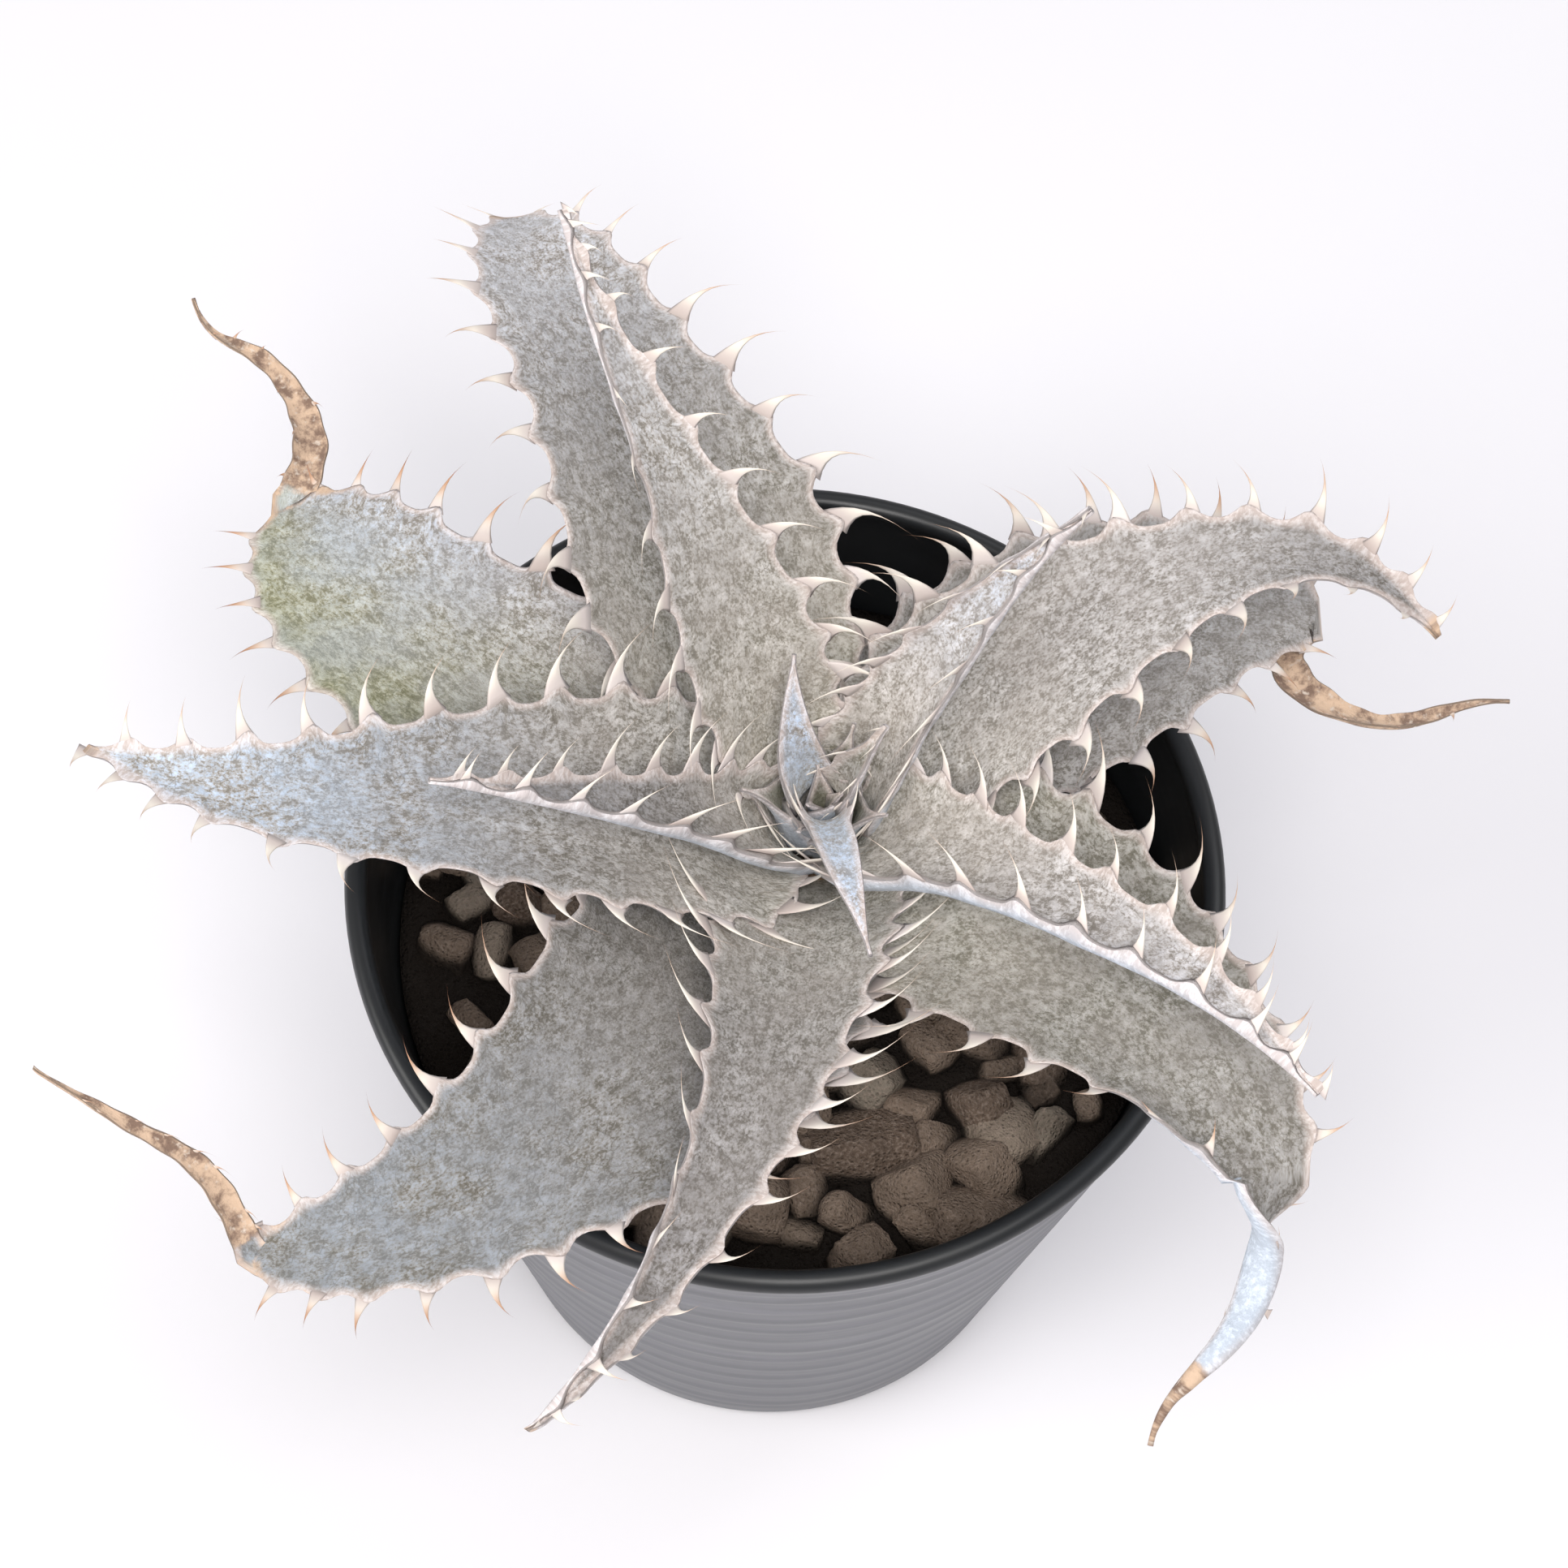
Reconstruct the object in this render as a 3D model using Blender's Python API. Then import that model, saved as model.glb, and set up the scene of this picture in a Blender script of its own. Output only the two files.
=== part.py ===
"""Dyckia bromeliad in its nursery pot: pot, gravel mix, stem and leaves.

Metres, +Z up. The origin is the middle of the pot's underside. The photograph
looks along +Y and down, with +X to its right. Each leaf grows from the stem and
is one solid with its hooked marginal teeth and, on the oldest leaves, its
dried and twisted end.
"""

import math
import random

import bmesh
import bpy
import numpy as np
from mathutils import Vector

MM = 0.001
GAP = 0.3 * MM

POT_RIM_RADIUS = 45.0 * MM
POT_BASE_RADIUS = 30.0 * MM
POT_HEIGHT = 85.0 * MM
POT_WALL = 1.6 * MM
POT_RIM_BEAD = 2.4 * MM
POT_FLOOR_TOP = 4.0 * MM
POT_SIDES = 64
FOOT_RECESS = 1.5 * MM
HUB_RADIUS = 8.0 * MM
DRAIN_HOLES = 8
DRAIN_RADIUS = 2.6 * MM
DRAIN_CIRCLE = 17.0 * MM

GRAVEL_LEVEL = 70.0 * MM
GRAIN_DOME = 3.2 * MM
GRAVEL_GRAINS = 70
GRAVEL_RINGS = 12
GRAVEL_SPOKES = 40
GRAVEL_SEED = 7

STEM_X = 3.0 * MM
STEM_RADIUS = 4.6 * MM
STEM_TOP = 101.0 * MM
STEM_FOOT = 46.0 * MM
STEM_FOOT_RADIUS = 3.0 * MM
CAUDEX_RADIUS = 8.0 * MM
CAUDEX_WIDEST = 76.0 * MM
CAUDEX_TOP = 84.6 * MM
STEM_AT_GRAVEL = 7.4 * MM
STEM_SIDES = 20

LEAF_SECTION = 6
LEAF_STEP = 3.4 * MM
LEAF_NECK = 6.0 * MM
LEAF_FLARE = 17.0 * MM
LEAF_CHANNEL = 0.10
TOOTH_START = 0.16

# Each leaf: length of its blade, its widths at even stations from base to tip,
# how blunt the tip is, the bearings and rises of its midline in degrees, its
# roll, where its base meets the stem, and how thick it is there. All in mm.
# A withered end, where there is one: its length, width, bearings and rises.
LEAVES = {
    "leaf_north_west_outer": {
        "length": 78, "widths": (15, 25.5, 18.5, 22), "blunt": 5.6,
        "bearing": (120, 121, 122, 110), "rise": (43, 30, 2, -44), "roll": (-1, 1, 3),
        "base": 90.5, "thick": 2.0,
    },
    "leaf_north_west_inner": {
        "length": 66, "widths": (12.5, 16.5, 12, 8), "blunt": 1.4,
        "bearing": (131, 127, 125, 112), "rise": (68, 54, 34, 16), "roll": (0, 2, 0),
        "base": 98, "thick": 1.8,
    },
    "leaf_west_outer": {
        "length": 70, "widths": (14, 26, 23, 25), "blunt": 6.6,
        "bearing": (171, 156, 139, 118), "rise": (36, 17, -7, -30), "roll": (-1, -2, -8),
        "base": 86.5, "thick": 2.2,
        "withered": {"length": 24, "width": 4.0,
                     "bearing": (95, 130, 175, 125), "rise": (-10, 25, 10, 25)},
    },
    "leaf_west_middle": {
        "length": 74, "widths": (23, 22, 16.5, 14), "blunt": 3.2,
        "bearing": (196, 193, 185, 159), "rise": (49, 28, 8, -5), "roll": (-5, 0, -2),
        "base": 94.5, "thick": 2.0,
    },
    "leaf_west_inner": {
        "length": 47, "widths": (12.5, 9, 8, 5), "blunt": 1.5,
        "bearing": (209, 203, 196, 190), "rise": (59, 48, 37, 25), "roll": (-8, -2, -1),
        "base": 98, "thick": 1.8,
    },
    "leaf_south_west_outer": {
        "length": 81, "widths": (15, 29.5, 20.5, 18.5), "blunt": 4.8,
        "bearing": (250, 237, 216, 178), "rise": (45, 21, -4, -23), "roll": (-2, -4, -2),
        "base": 88, "thick": 2.2,
        "withered": {"length": 26, "width": 3.0,
                     "bearing": (115, 130, 155, 150), "rise": (-15, 5, 5, 15)},
    },
    "leaf_south_middle": {
        "length": 79, "widths": (19, 16.5, 12, 8.5), "blunt": 1.8,
        "bearing": (266, 262, 248, 224), "rise": (48, 28, 5, -16), "roll": (1, 0, 0),
        "base": 92.5, "thick": 2.0,
    },
    "leaf_south_east_outer": {
        "length": 79, "widths": (26, 27.5, 23.5, 10.5), "blunt": 2.1,
        "bearing": (334, 321, 302, 243), "rise": (39, 21, 0, -38), "roll": (4, 7, 1),
        "base": 89.5, "thick": 2.2,
        "withered": {"length": 13, "width": 3.0,
                     "bearing": (235, 228, 245, 262), "rise": (-50, -35, -30, -25)},
    },
    "leaf_east_inner": {
        "length": 64, "widths": (16.5, 10.5, 9.5, 8), "blunt": 2.2,
        "bearing": (328, 324, 321, 313), "rise": (55, 35, 18, -2), "roll": (2, 0, 0),
        "base": 97, "thick": 1.8,
    },
    "leaf_north_east_middle": {
        "length": 70, "widths": (15, 22.5, 17.5, 13.5), "blunt": 1.9,
        "bearing": (38, 29, 14, -45), "rise": (51, 31, 13, -15), "roll": (1, 1, 0),
        "base": 93, "thick": 2.0,
    },
    "leaf_north_east_outer": {
        "length": 58, "widths": (15, 25, 24.5, 20), "blunt": 5.3,
        "bearing": (48, 33, 21, -8), "rise": (37, 18, 4, -19), "roll": (1, 4, 1),
        "base": 87, "thick": 2.2,
        "withered": {"length": 26, "width": 3.4,
                     "bearing": (-75, -35, 15, 10), "rise": (-5, 5, 10, 10)},
    },
    "leaf_north_east_inner": {
        "length": 42, "widths": (9.5, 9.5, 8, 4.5), "blunt": 1.7,
        "bearing": (46, 40, 36, 30), "rise": (67, 56, 48, 37), "roll": (0, 1, 0),
        "base": 98, "thick": 1.8,
    },
    "leaf_heart_back": {
        "length": 18, "widths": (4.5, 5, 4, 3), "blunt": 2.2,
        "bearing": (140, 119, 102, 90), "rise": (80, 75, 63, 50), "roll": (0, 0, 0),
        "base": 101.7, "thick": 1.2, "on_top": 2.4,
    },
    "leaf_heart_front": {
        "length": 30, "widths": (4.3, 5.6, 5.3, 3.2), "blunt": 2.6,
        "bearing": (278, 282, 284, 285), "rise": (65, 48, 31, 15), "roll": (0, 0, 0),
        "base": 101.7, "thick": 1.2, "on_top": 2.4,
    },
    "leaf_heart_side": {
        "length": 12, "widths": (3.4, 3.6, 3, 2), "blunt": 2.0,
        "bearing": (25, 30, 35, 40), "rise": (80, 72, 62, 55), "roll": (0, 0, 0),
        "base": 101.7, "thick": 1.0, "on_top": 2.2,
    },
}


def clear_scene():
    for obj in list(bpy.data.objects):
        bpy.data.objects.remove(obj, do_unlink=True)


def plain_material(name, colour, roughness):
    material = bpy.data.materials.new(name)
    material.use_nodes = True
    shader = material.node_tree.nodes["Principled BSDF"]
    shader.inputs["Base Color"].default_value = (*colour, 1.0)
    shader.inputs["Roughness"].default_value = roughness
    shader.inputs["Metallic"].default_value = 0.0
    return material


def add_object(name, bm, material, sharp_angle=40.0):
    bmesh.ops.recalc_face_normals(bm, faces=bm.faces[:])
    mesh = bpy.data.meshes.new(name)
    bm.to_mesh(mesh)
    bm.free()
    mesh.materials.append(material)
    mesh.shade_smooth()
    mesh.set_sharp_from_angle(angle=math.radians(sharp_angle))
    obj = bpy.data.objects.new(name, mesh)
    bpy.context.scene.collection.objects.link(obj)
    return obj


def turned(bm, profile, sides, centre_x=0.0):
    """A closed body turned about the vertical through centre_x.

    The profile runs from one point on the axis to another.
    """
    rings = []
    for radius, height in profile:
        if radius < 1e-7:
            rings.append([bm.verts.new((centre_x, 0.0, height))])
            continue
        ring = []
        for k in range(sides):
            turn = 2.0 * math.pi * k / sides
            x = centre_x + radius * math.cos(turn)
            ring.append(bm.verts.new((x, radius * math.sin(turn), height)))
        rings.append(ring)
    for lower, upper in zip(rings, rings[1:]):
        for k in range(sides):
            nxt = (k + 1) % sides
            if len(lower) == 1:
                bm.faces.new((lower[0], upper[nxt], upper[k]))
            elif len(upper) == 1:
                bm.faces.new((lower[k], lower[nxt], upper[0]))
            else:
                bm.faces.new((lower[k], lower[nxt], upper[nxt], upper[k]))


def pot_wall_radius(height):
    """Outside radius of the pot's straight tapered wall at a height."""
    share = height / POT_HEIGHT
    return POT_BASE_RADIUS + (POT_RIM_RADIUS - POT_BASE_RADIUS) * share


def build_pot(material):
    bead = POT_RIM_BEAD / 2.0
    bead_centre = (POT_RIM_RADIUS - bead, POT_HEIGHT - bead)
    profile = [(0.0, 0.0), (HUB_RADIUS, 0.0), (HUB_RADIUS + FOOT_RECESS, FOOT_RECESS)]
    profile += [(POT_BASE_RADIUS - 5.0 * MM, FOOT_RECESS), (POT_BASE_RADIUS - 4.0 * MM, 0.0)]
    profile += [(POT_BASE_RADIUS - 2.0 * MM, 0.0), (POT_BASE_RADIUS - 0.5 * MM, 0.7 * MM)]
    profile.append((pot_wall_radius(2.6 * MM), 2.6 * MM))
    for share in (0.25, 0.5, 0.75):
        profile.append((pot_wall_radius(share * POT_HEIGHT), share * POT_HEIGHT))
    for angle in (-10, 25, 60, 90, 120, 155, 190):
        turn = math.radians(angle)
        radius = bead_centre[0] + bead * math.cos(turn)
        profile.append((radius, bead_centre[1] + bead * math.sin(turn)))
    inner_top = POT_HEIGHT - POT_RIM_BEAD - 1.0 * MM
    profile.append((pot_wall_radius(inner_top) - POT_WALL, inner_top))
    profile.append((pot_wall_radius(POT_FLOOR_TOP) - POT_WALL, POT_FLOOR_TOP + 1.0 * MM))
    profile.append((pot_wall_radius(POT_FLOOR_TOP) - POT_WALL - 1.0 * MM, POT_FLOOR_TOP))
    profile.append((0.0, POT_FLOOR_TOP))
    bm = bmesh.new()
    turned(bm, profile, POT_SIDES)
    pot = add_object("pot", bm, material)
    for k in range(DRAIN_HOLES):
        turn = 2.0 * math.pi * (k + 0.5) / DRAIN_HOLES
        cut_bm = bmesh.new()
        bmesh.ops.create_cone(
            cut_bm, cap_ends=True, segments=12, radius1=DRAIN_RADIUS,
            radius2=DRAIN_RADIUS, depth=4.0 * POT_FLOOR_TOP,
        )
        place = Vector((DRAIN_CIRCLE * math.cos(turn), DRAIN_CIRCLE * math.sin(turn), 0.0))
        bmesh.ops.translate(cut_bm, verts=cut_bm.verts[:], vec=place)
        cutter = add_object(f"drain_cutter_{k}", cut_bm, material)
        cutter.hide_render = True
        cutter.display_type = "WIRE"
        cut = pot.modifiers.new(f"drain_{k}", "BOOLEAN")
        cut.operation = "DIFFERENCE"
        cut.object = cutter
    return pot


def grain_field():
    """Centres, half lengths and turns of the grains that lie on top."""
    rng = random.Random(GRAVEL_SEED)
    reach = pot_wall_radius(GRAVEL_LEVEL) - POT_WALL - 3.0 * MM
    grains = []
    for _ in range(GRAVEL_GRAINS):
        radius = reach * math.sqrt(rng.random())
        turn = 2.0 * math.pi * rng.random()
        half = rng.uniform(3.0, 6.5) * MM
        grains.append((radius * math.cos(turn), radius * math.sin(turn), half, rng.uniform(0, math.pi)))
    return grains


def gravel_height(x, y, grains):
    top = 0.0
    for gx, gy, half, turn in grains:
        along = ((x - gx) * math.cos(turn) + (y - gy) * math.sin(turn)) / half
        across = ((y - gy) * math.cos(turn) - (x - gx) * math.sin(turn)) / (0.7 * half)
        inside = 1.0 - along * along - across * across
        if inside > 0.0:
            top = max(top, GRAIN_DOME * math.sqrt(inside) * half / (6.5 * MM))
    return GRAVEL_LEVEL + top


def build_gravel(material):
    """The potting mix: fills the pot, with a socket for the stem and a stony top."""
    grains = grain_field()
    bm = bmesh.new()
    wall = pot_wall_radius(GRAVEL_LEVEL) - POT_WALL - GAP
    socket_top = STEM_AT_GRAVEL + GAP
    rings = []
    for i in range(GRAVEL_RINGS + 1):
        share = i / GRAVEL_RINGS
        ring = []
        for k in range(GRAVEL_SPOKES):
            turn = 2.0 * math.pi * k / GRAVEL_SPOKES
            radius = socket_top + (wall - socket_top) * share
            x = STEM_X * (1.0 - share) + radius * math.cos(turn)
            y = radius * math.sin(turn)
            at_rim = i in (0, GRAVEL_RINGS)
            height = GRAVEL_LEVEL if at_rim else gravel_height(x, y, grains)
            ring.append(bm.verts.new((x, y, height)))
        rings.append(ring)
    foot = POT_FLOOR_TOP + GAP
    side = pot_wall_radius(POT_FLOOR_TOP) - POT_WALL - GAP
    for radius, height in ((side, foot + 1.2 * MM), (side - 1.2 * MM, foot)):
        rings.append([
            bm.verts.new((radius * math.cos(2 * math.pi * k / GRAVEL_SPOKES),
                          radius * math.sin(2 * math.pi * k / GRAVEL_SPOKES), height))
            for k in range(GRAVEL_SPOKES)
        ])
    socket_foot = STEM_FOOT - GAP
    socket = [
        bm.verts.new((STEM_X + (STEM_FOOT_RADIUS + GAP) * math.cos(2 * math.pi * k / GRAVEL_SPOKES),
                      (STEM_FOOT_RADIUS + GAP) * math.sin(2 * math.pi * k / GRAVEL_SPOKES),
                      socket_foot))
        for k in range(GRAVEL_SPOKES)
    ]
    for inner, outer in zip([socket] + rings, rings):
        for k in range(GRAVEL_SPOKES):
            nxt = (k + 1) % GRAVEL_SPOKES
            bm.faces.new((inner[k], inner[nxt], outer[nxt], outer[k]))
    bm.faces.new(rings[-1])
    bm.faces.new(socket)
    return add_object("gravel_mix", bm, material, sharp_angle=60.0)


def build_stem(material):
    """A stem in the mix, swollen under the rosette by the bases of old leaves."""
    profile = [(0.0, STEM_FOOT), (STEM_FOOT_RADIUS - 0.8 * MM, STEM_FOOT)]
    profile.append((STEM_FOOT_RADIUS, STEM_FOOT + 1.5 * MM))
    profile.append((STEM_AT_GRAVEL, GRAVEL_LEVEL))
    profile.append((CAUDEX_RADIUS, CAUDEX_WIDEST))
    profile.append((0.5 * (CAUDEX_RADIUS + STEM_RADIUS) + 0.8 * MM, CAUDEX_TOP - 3.0 * MM))
    profile.append((STEM_RADIUS, CAUDEX_TOP))
    profile.append((STEM_RADIUS, STEM_TOP - 0.6 * MM))
    profile += [(STEM_RADIUS - 0.6 * MM, STEM_TOP), (0.0, STEM_TOP)]
    bm = bmesh.new()
    turned(bm, profile, STEM_SIDES, centre_x=STEM_X)
    return add_object("stem", bm, material)


def through(values, share):
    """A smooth curve through evenly spaced values, read at share from 0 to 1."""
    last = len(values) - 1
    place = min(max(share, 0.0), 1.0) * last
    i = min(int(place), last - 1)
    t = place - i
    a = values[max(i - 1, 0)]
    b = values[i]
    c = values[i + 1]
    d = values[min(i + 2, last)]
    return b + 0.5 * t * (c - a + t * (2 * a - 5 * b + 4 * c - d + t * (3 * (b - c) + d - a)))


def heading(bearing, rise, roll):
    """Along, across (to the left) and upper-face directions of a leaf."""
    h, e, r = (math.radians(angle) for angle in (bearing, rise, roll))
    along = np.array([math.cos(e) * math.cos(h), math.cos(e) * math.sin(h), math.sin(e)])
    level = np.array([-math.sin(h), math.cos(h), 0.0])
    upright = np.cross(along, level)
    across = level * math.cos(r) + upright * math.sin(r)
    return along, across, np.cross(along, across)


def leaf_stations(leaf):
    """Midline points with their directions, widths and thicknesses, base to tip."""
    length = leaf["length"] * MM
    count = max(8, round(length / LEAF_STEP))
    bearing = math.radians(leaf["bearing"][0])
    out = leaf["on_top"] * MM if "on_top" in leaf else STEM_RADIUS + GAP
    point = np.array([STEM_X + out * math.cos(bearing), out * math.sin(bearing), leaf["base"] * MM])
    before = None
    stations = []
    for i in range(count + 1):
        share = i / count
        axes = heading(through(leaf["bearing"], share), through(leaf["rise"], share),
                       through(leaf["roll"], share))
        if before is not None:
            point = point + (axes[0] + before) * 0.5 * length / count
        before = axes[0]
        width = through(leaf["widths"], share) * MM * (1.0 - share ** leaf["blunt"])
        flare = min(1.0, share * length / LEAF_FLARE)
        flare = flare * flare * (3.0 - 2.0 * flare)
        neck = min(LEAF_NECK, leaf["widths"][0] * MM)
        width = neck + (width - neck) * flare if share < 0.5 else width
        thick = leaf["thick"] * MM * (1.0 - 0.72 * share)
        stations.append((point, axes, width, thick))
    if "withered" in leaf:
        stations = with_withered_end(stations, leaf["withered"])
    return stations


def with_withered_end(stations, end):
    """Carry a leaf on into its dried, shrivelled end."""
    length = end["length"] * MM
    count = max(5, round(length / LEAF_STEP))
    stations = [s for s in stations if s[2] > end["width"] * MM or s is stations[0]]
    point, axes = stations[-1][0], stations[-1][1]
    before = axes[0]
    for i in range(1, count + 1):
        share = i / count
        axes = heading(through(end["bearing"], share), through(end["rise"], share), 0.0)
        point = point + (axes[0] + before) * 0.5 * length / count
        before = axes[0]
        width = end["width"] * MM * (1.0 - 0.95 * share)
        stations.append((point, axes, width, 0.8 * MM * (1.0 - 0.6 * share)))
    return stations


def on_stem(corner, along):
    """Slide a base corner along the leaf until it faces the round stem."""
    clear = STEM_RADIUS + 1.5 * GAP
    for _ in range(12):
        flat = np.array([corner[0] - STEM_X, corner[1]])
        short = clear - np.linalg.norm(flat)
        outward = np.dot(flat / max(np.linalg.norm(flat), 1e-6), along[:2])
        corner = corner + along * short / max(outward, 0.35)
    return corner


def build_leaf(name, leaf, material):
    """Loft a channelled blade and pull every other margin face into a hook."""
    stations = leaf_stations(leaf)
    blade = leaf["length"] * MM
    bm = bmesh.new()
    rings = []
    for i, (mid, (along, across, up), width, thick) in enumerate(stations):
        half = width / 2.0
        lift = LEAF_CHANNEL * width
        edge = min(0.35 * MM, 0.2 * thick)
        corners = [
            mid + across * half + up * (lift + edge),
            mid + up * thick * 0.3,
            mid - across * half + up * (lift + edge),
            mid - across * half + up * (lift - edge),
            mid - up * thick * 0.7,
            mid + across * half + up * (lift - edge),
        ]
        if i == 0 and "on_top" not in leaf:
            corners = [on_stem(corner, along) for corner in corners]
        rings.append([bm.verts.new(corner) for corner in corners])
    top_left, top, top_right, low_right, low, low_left = rings[0]
    bm.faces.new((top_left, top, low, low_left))
    bm.faces.new((top, top_right, low_right, low))
    bm.faces.new(rings[-1])
    margins = {2: -1.0, 5: 1.0}
    for i, (near, far) in enumerate(zip(rings, rings[1:])):
        for k in range(LEAF_SECTION):
            nxt = (k + 1) % LEAF_SECTION
            quad = (near[k], near[nxt], far[nxt], far[k])
            share = (i + 0.5) / (len(rings) - 1)
            reach = i * LEAF_STEP
            toothed = k in margins and i % 2 == 1 and reach > TOOTH_START * blade
            if not toothed or i >= len(rings) - 2 or "on_top" in leaf:
                bm.faces.new(quad)
                continue
            _, (along, across, up), _, _ = stations[i]
            outward = across * margins[k]
            size = (4.4 - 2.4 * share) * MM
            root = sum((v.co for v in quad), Vector()) / 4.0
            lean = outward * 0.78 - along * 0.62
            tip = bm.verts.new(root + Vector(lean) * size)
            for a in range(4):
                bm.faces.new((quad[a], quad[(a + 1) % 4], tip))
    bmesh.ops.triangulate(bm, faces=bm.faces[:])
    return add_object(name, bm, material, sharp_angle=50.0)


def main():
    clear_scene()
    pot_plastic = plain_material("pot_plastic", (0.13, 0.13, 0.14), 0.42)
    pumice = plain_material("pumice", (0.11, 0.075, 0.06), 0.95)
    bark = plain_material("stem_bark", (0.20, 0.13, 0.08), 0.9)
    scurf = plain_material("leaf_scurf", (0.38, 0.38, 0.34), 0.75)
    build_pot(pot_plastic)
    build_gravel(pumice)
    build_stem(bark)
    for name, leaf in LEAVES.items():
        build_leaf(name, leaf, scurf)


main()
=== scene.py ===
"""The looks of a potted dyckia bromeliad, built round its CAD frame.

Leaves, pot, gravel and stem are each modelled here at full detail in place of
their plain solids. Metres, +Z up, origin in the middle of the pot's underside.
Lengths in the leaf table and in the leaf shader's coordinates are millimetres.
"""

import math
import random

import bmesh
import bpy
import numpy as np
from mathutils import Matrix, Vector


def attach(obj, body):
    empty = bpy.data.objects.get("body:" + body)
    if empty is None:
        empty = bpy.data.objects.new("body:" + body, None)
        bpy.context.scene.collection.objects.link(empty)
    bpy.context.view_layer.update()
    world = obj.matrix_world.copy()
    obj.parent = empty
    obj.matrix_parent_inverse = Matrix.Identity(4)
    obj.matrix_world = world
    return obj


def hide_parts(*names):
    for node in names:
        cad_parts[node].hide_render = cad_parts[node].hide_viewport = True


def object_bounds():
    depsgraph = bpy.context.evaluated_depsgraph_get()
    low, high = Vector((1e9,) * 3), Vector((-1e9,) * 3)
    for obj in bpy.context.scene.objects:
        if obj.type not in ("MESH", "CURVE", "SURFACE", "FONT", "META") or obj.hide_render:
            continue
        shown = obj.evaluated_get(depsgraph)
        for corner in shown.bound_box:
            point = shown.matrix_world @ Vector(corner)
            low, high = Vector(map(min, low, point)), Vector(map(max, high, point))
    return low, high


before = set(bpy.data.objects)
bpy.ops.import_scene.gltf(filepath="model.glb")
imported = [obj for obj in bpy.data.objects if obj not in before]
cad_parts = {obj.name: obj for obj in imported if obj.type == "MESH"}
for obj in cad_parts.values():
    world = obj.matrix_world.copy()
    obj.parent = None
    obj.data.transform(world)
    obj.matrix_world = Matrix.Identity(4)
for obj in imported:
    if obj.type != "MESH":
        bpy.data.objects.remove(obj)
cad_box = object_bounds()

MM = 0.001

# Camera, fitted to the pot's rim in the photograph.
CAMERA_PLACE = (0.0, -0.2076, 0.5399)
CAMERA_TURN = (25.50, -1.53, 3.42)
CAMERA_LENS = 112.66
CAMERA_SENSOR = 36.0
CAMERA_NEAR = 0.01

# Lights: name, place, size, power and colour. All of them aim at the rosette.
LIGHTS = (
    ("window", (-0.75, -0.35, 0.62), 0.7, 5.6, (1.0, 0.985, 0.96)),
    ("sky", (0.5, 0.6, 1.0), 0.9, 3.8, (0.95, 0.97, 1.0)),
    ("room", (0.03, -0.27, 0.68), 0.3, 3.4, (1.0, 0.975, 0.96)),
)
LIGHTS_AIM = (0.0, 0.0, 0.08)
STUDIO_COLOUR = (0.97, 0.965, 1.0, 1.0)
STUDIO_STRENGTH = 0.42
TABLE_HALF = 3.0
TABLE_TOP = -0.0001

# Pot, as in the frame.
RIM_RADIUS = 45.0 * MM
BASE_RADIUS = 30.0 * MM
POT_HEIGHT = 85.0 * MM
WALL = 1.6 * MM
BEAD = 2.4 * MM
FLOOR_TOP = 4.0 * MM
FOOT_RECESS = 1.5 * MM
HUB_RADIUS = 8.0 * MM
FOOT_OUTLINE = (
    (0.0, 0.0), (HUB_RADIUS, 0.0), (HUB_RADIUS + FOOT_RECESS, FOOT_RECESS),
    (BASE_RADIUS - 5.0 * MM, FOOT_RECESS), (BASE_RADIUS - 4.0 * MM, 0.0),
    (BASE_RADIUS - 2.2 * MM, 0.0), (BASE_RADIUS - 1.2 * MM, 0.15 * MM),
    (BASE_RADIUS - 0.5 * MM, 0.6 * MM), (BASE_RADIUS - 0.05 * MM, 1.4 * MM),
)
FOOT_GREY = 0.3
BEAD_GREY = 0.04
WALL_SPAN = (2.4 * MM, POT_HEIGHT - 2.6 * MM)
WALL_GIVE = 0.05 * MM
BEAD_FROM = -20.0
BEAD_SWEEP = 220.0
FILLET = 1.0 * MM
POT_SIDES = 144
WALL_ROWS = 200
BEAD_ROWS = 12
INNER_ROWS = 12
DRAIN_HOLES = 8
DRAIN_RADIUS = 2.6 * MM
DRAIN_CIRCLE = 17.0 * MM
SHARP_ANGLE = 50.0
RIBS = {"Rib pitch": 6.2 * MM, "Rib depth": 0.2 * MM, "Lowest": 5.0 * MM, "Highest": 80.0 * MM,
        "Wander": 1.2 * MM}
RIB_FADE = 2.0 * MM

# Gravel: the bed with its bumps in mm, the stones on it, and the heights above
# it between which the painted shade in the gaps and on the stones' low sides fades out.
BED_LEVEL = 67.8 * MM
BED_BUMP = 0.6
BED_RINGS = 26
BED_SPOKES = 72
BED_GAP = 0.3 * MM
BED_CORNER = 6.0 * MM
BED_BOTTOM = 4.4 * MM
BED_EDGE = 1.6 * MM
GAP_BOTTOM = 0.6 * MM
GAP_TOP = 2.0 * MM
GRAVEL_GAP = 0.2 * MM
GRAVEL_SEED = 11
GRAINS = {"Spacing": 4.2 * MM, "Density": 160000.0, "Smallest": 2.2 * MM, "Largest": 5.3 * MM,
          "Lumps": 2.0 * MM, "Seed": 4}
GRAIN_BLOCK = 1.5
GRAIN_POINTS = 8
GRAIN_SLIMMEST = (0.8, 0.65, 0.6)
GRAIN_FULLEST = (1.45, 1.05, 0.9)

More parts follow.
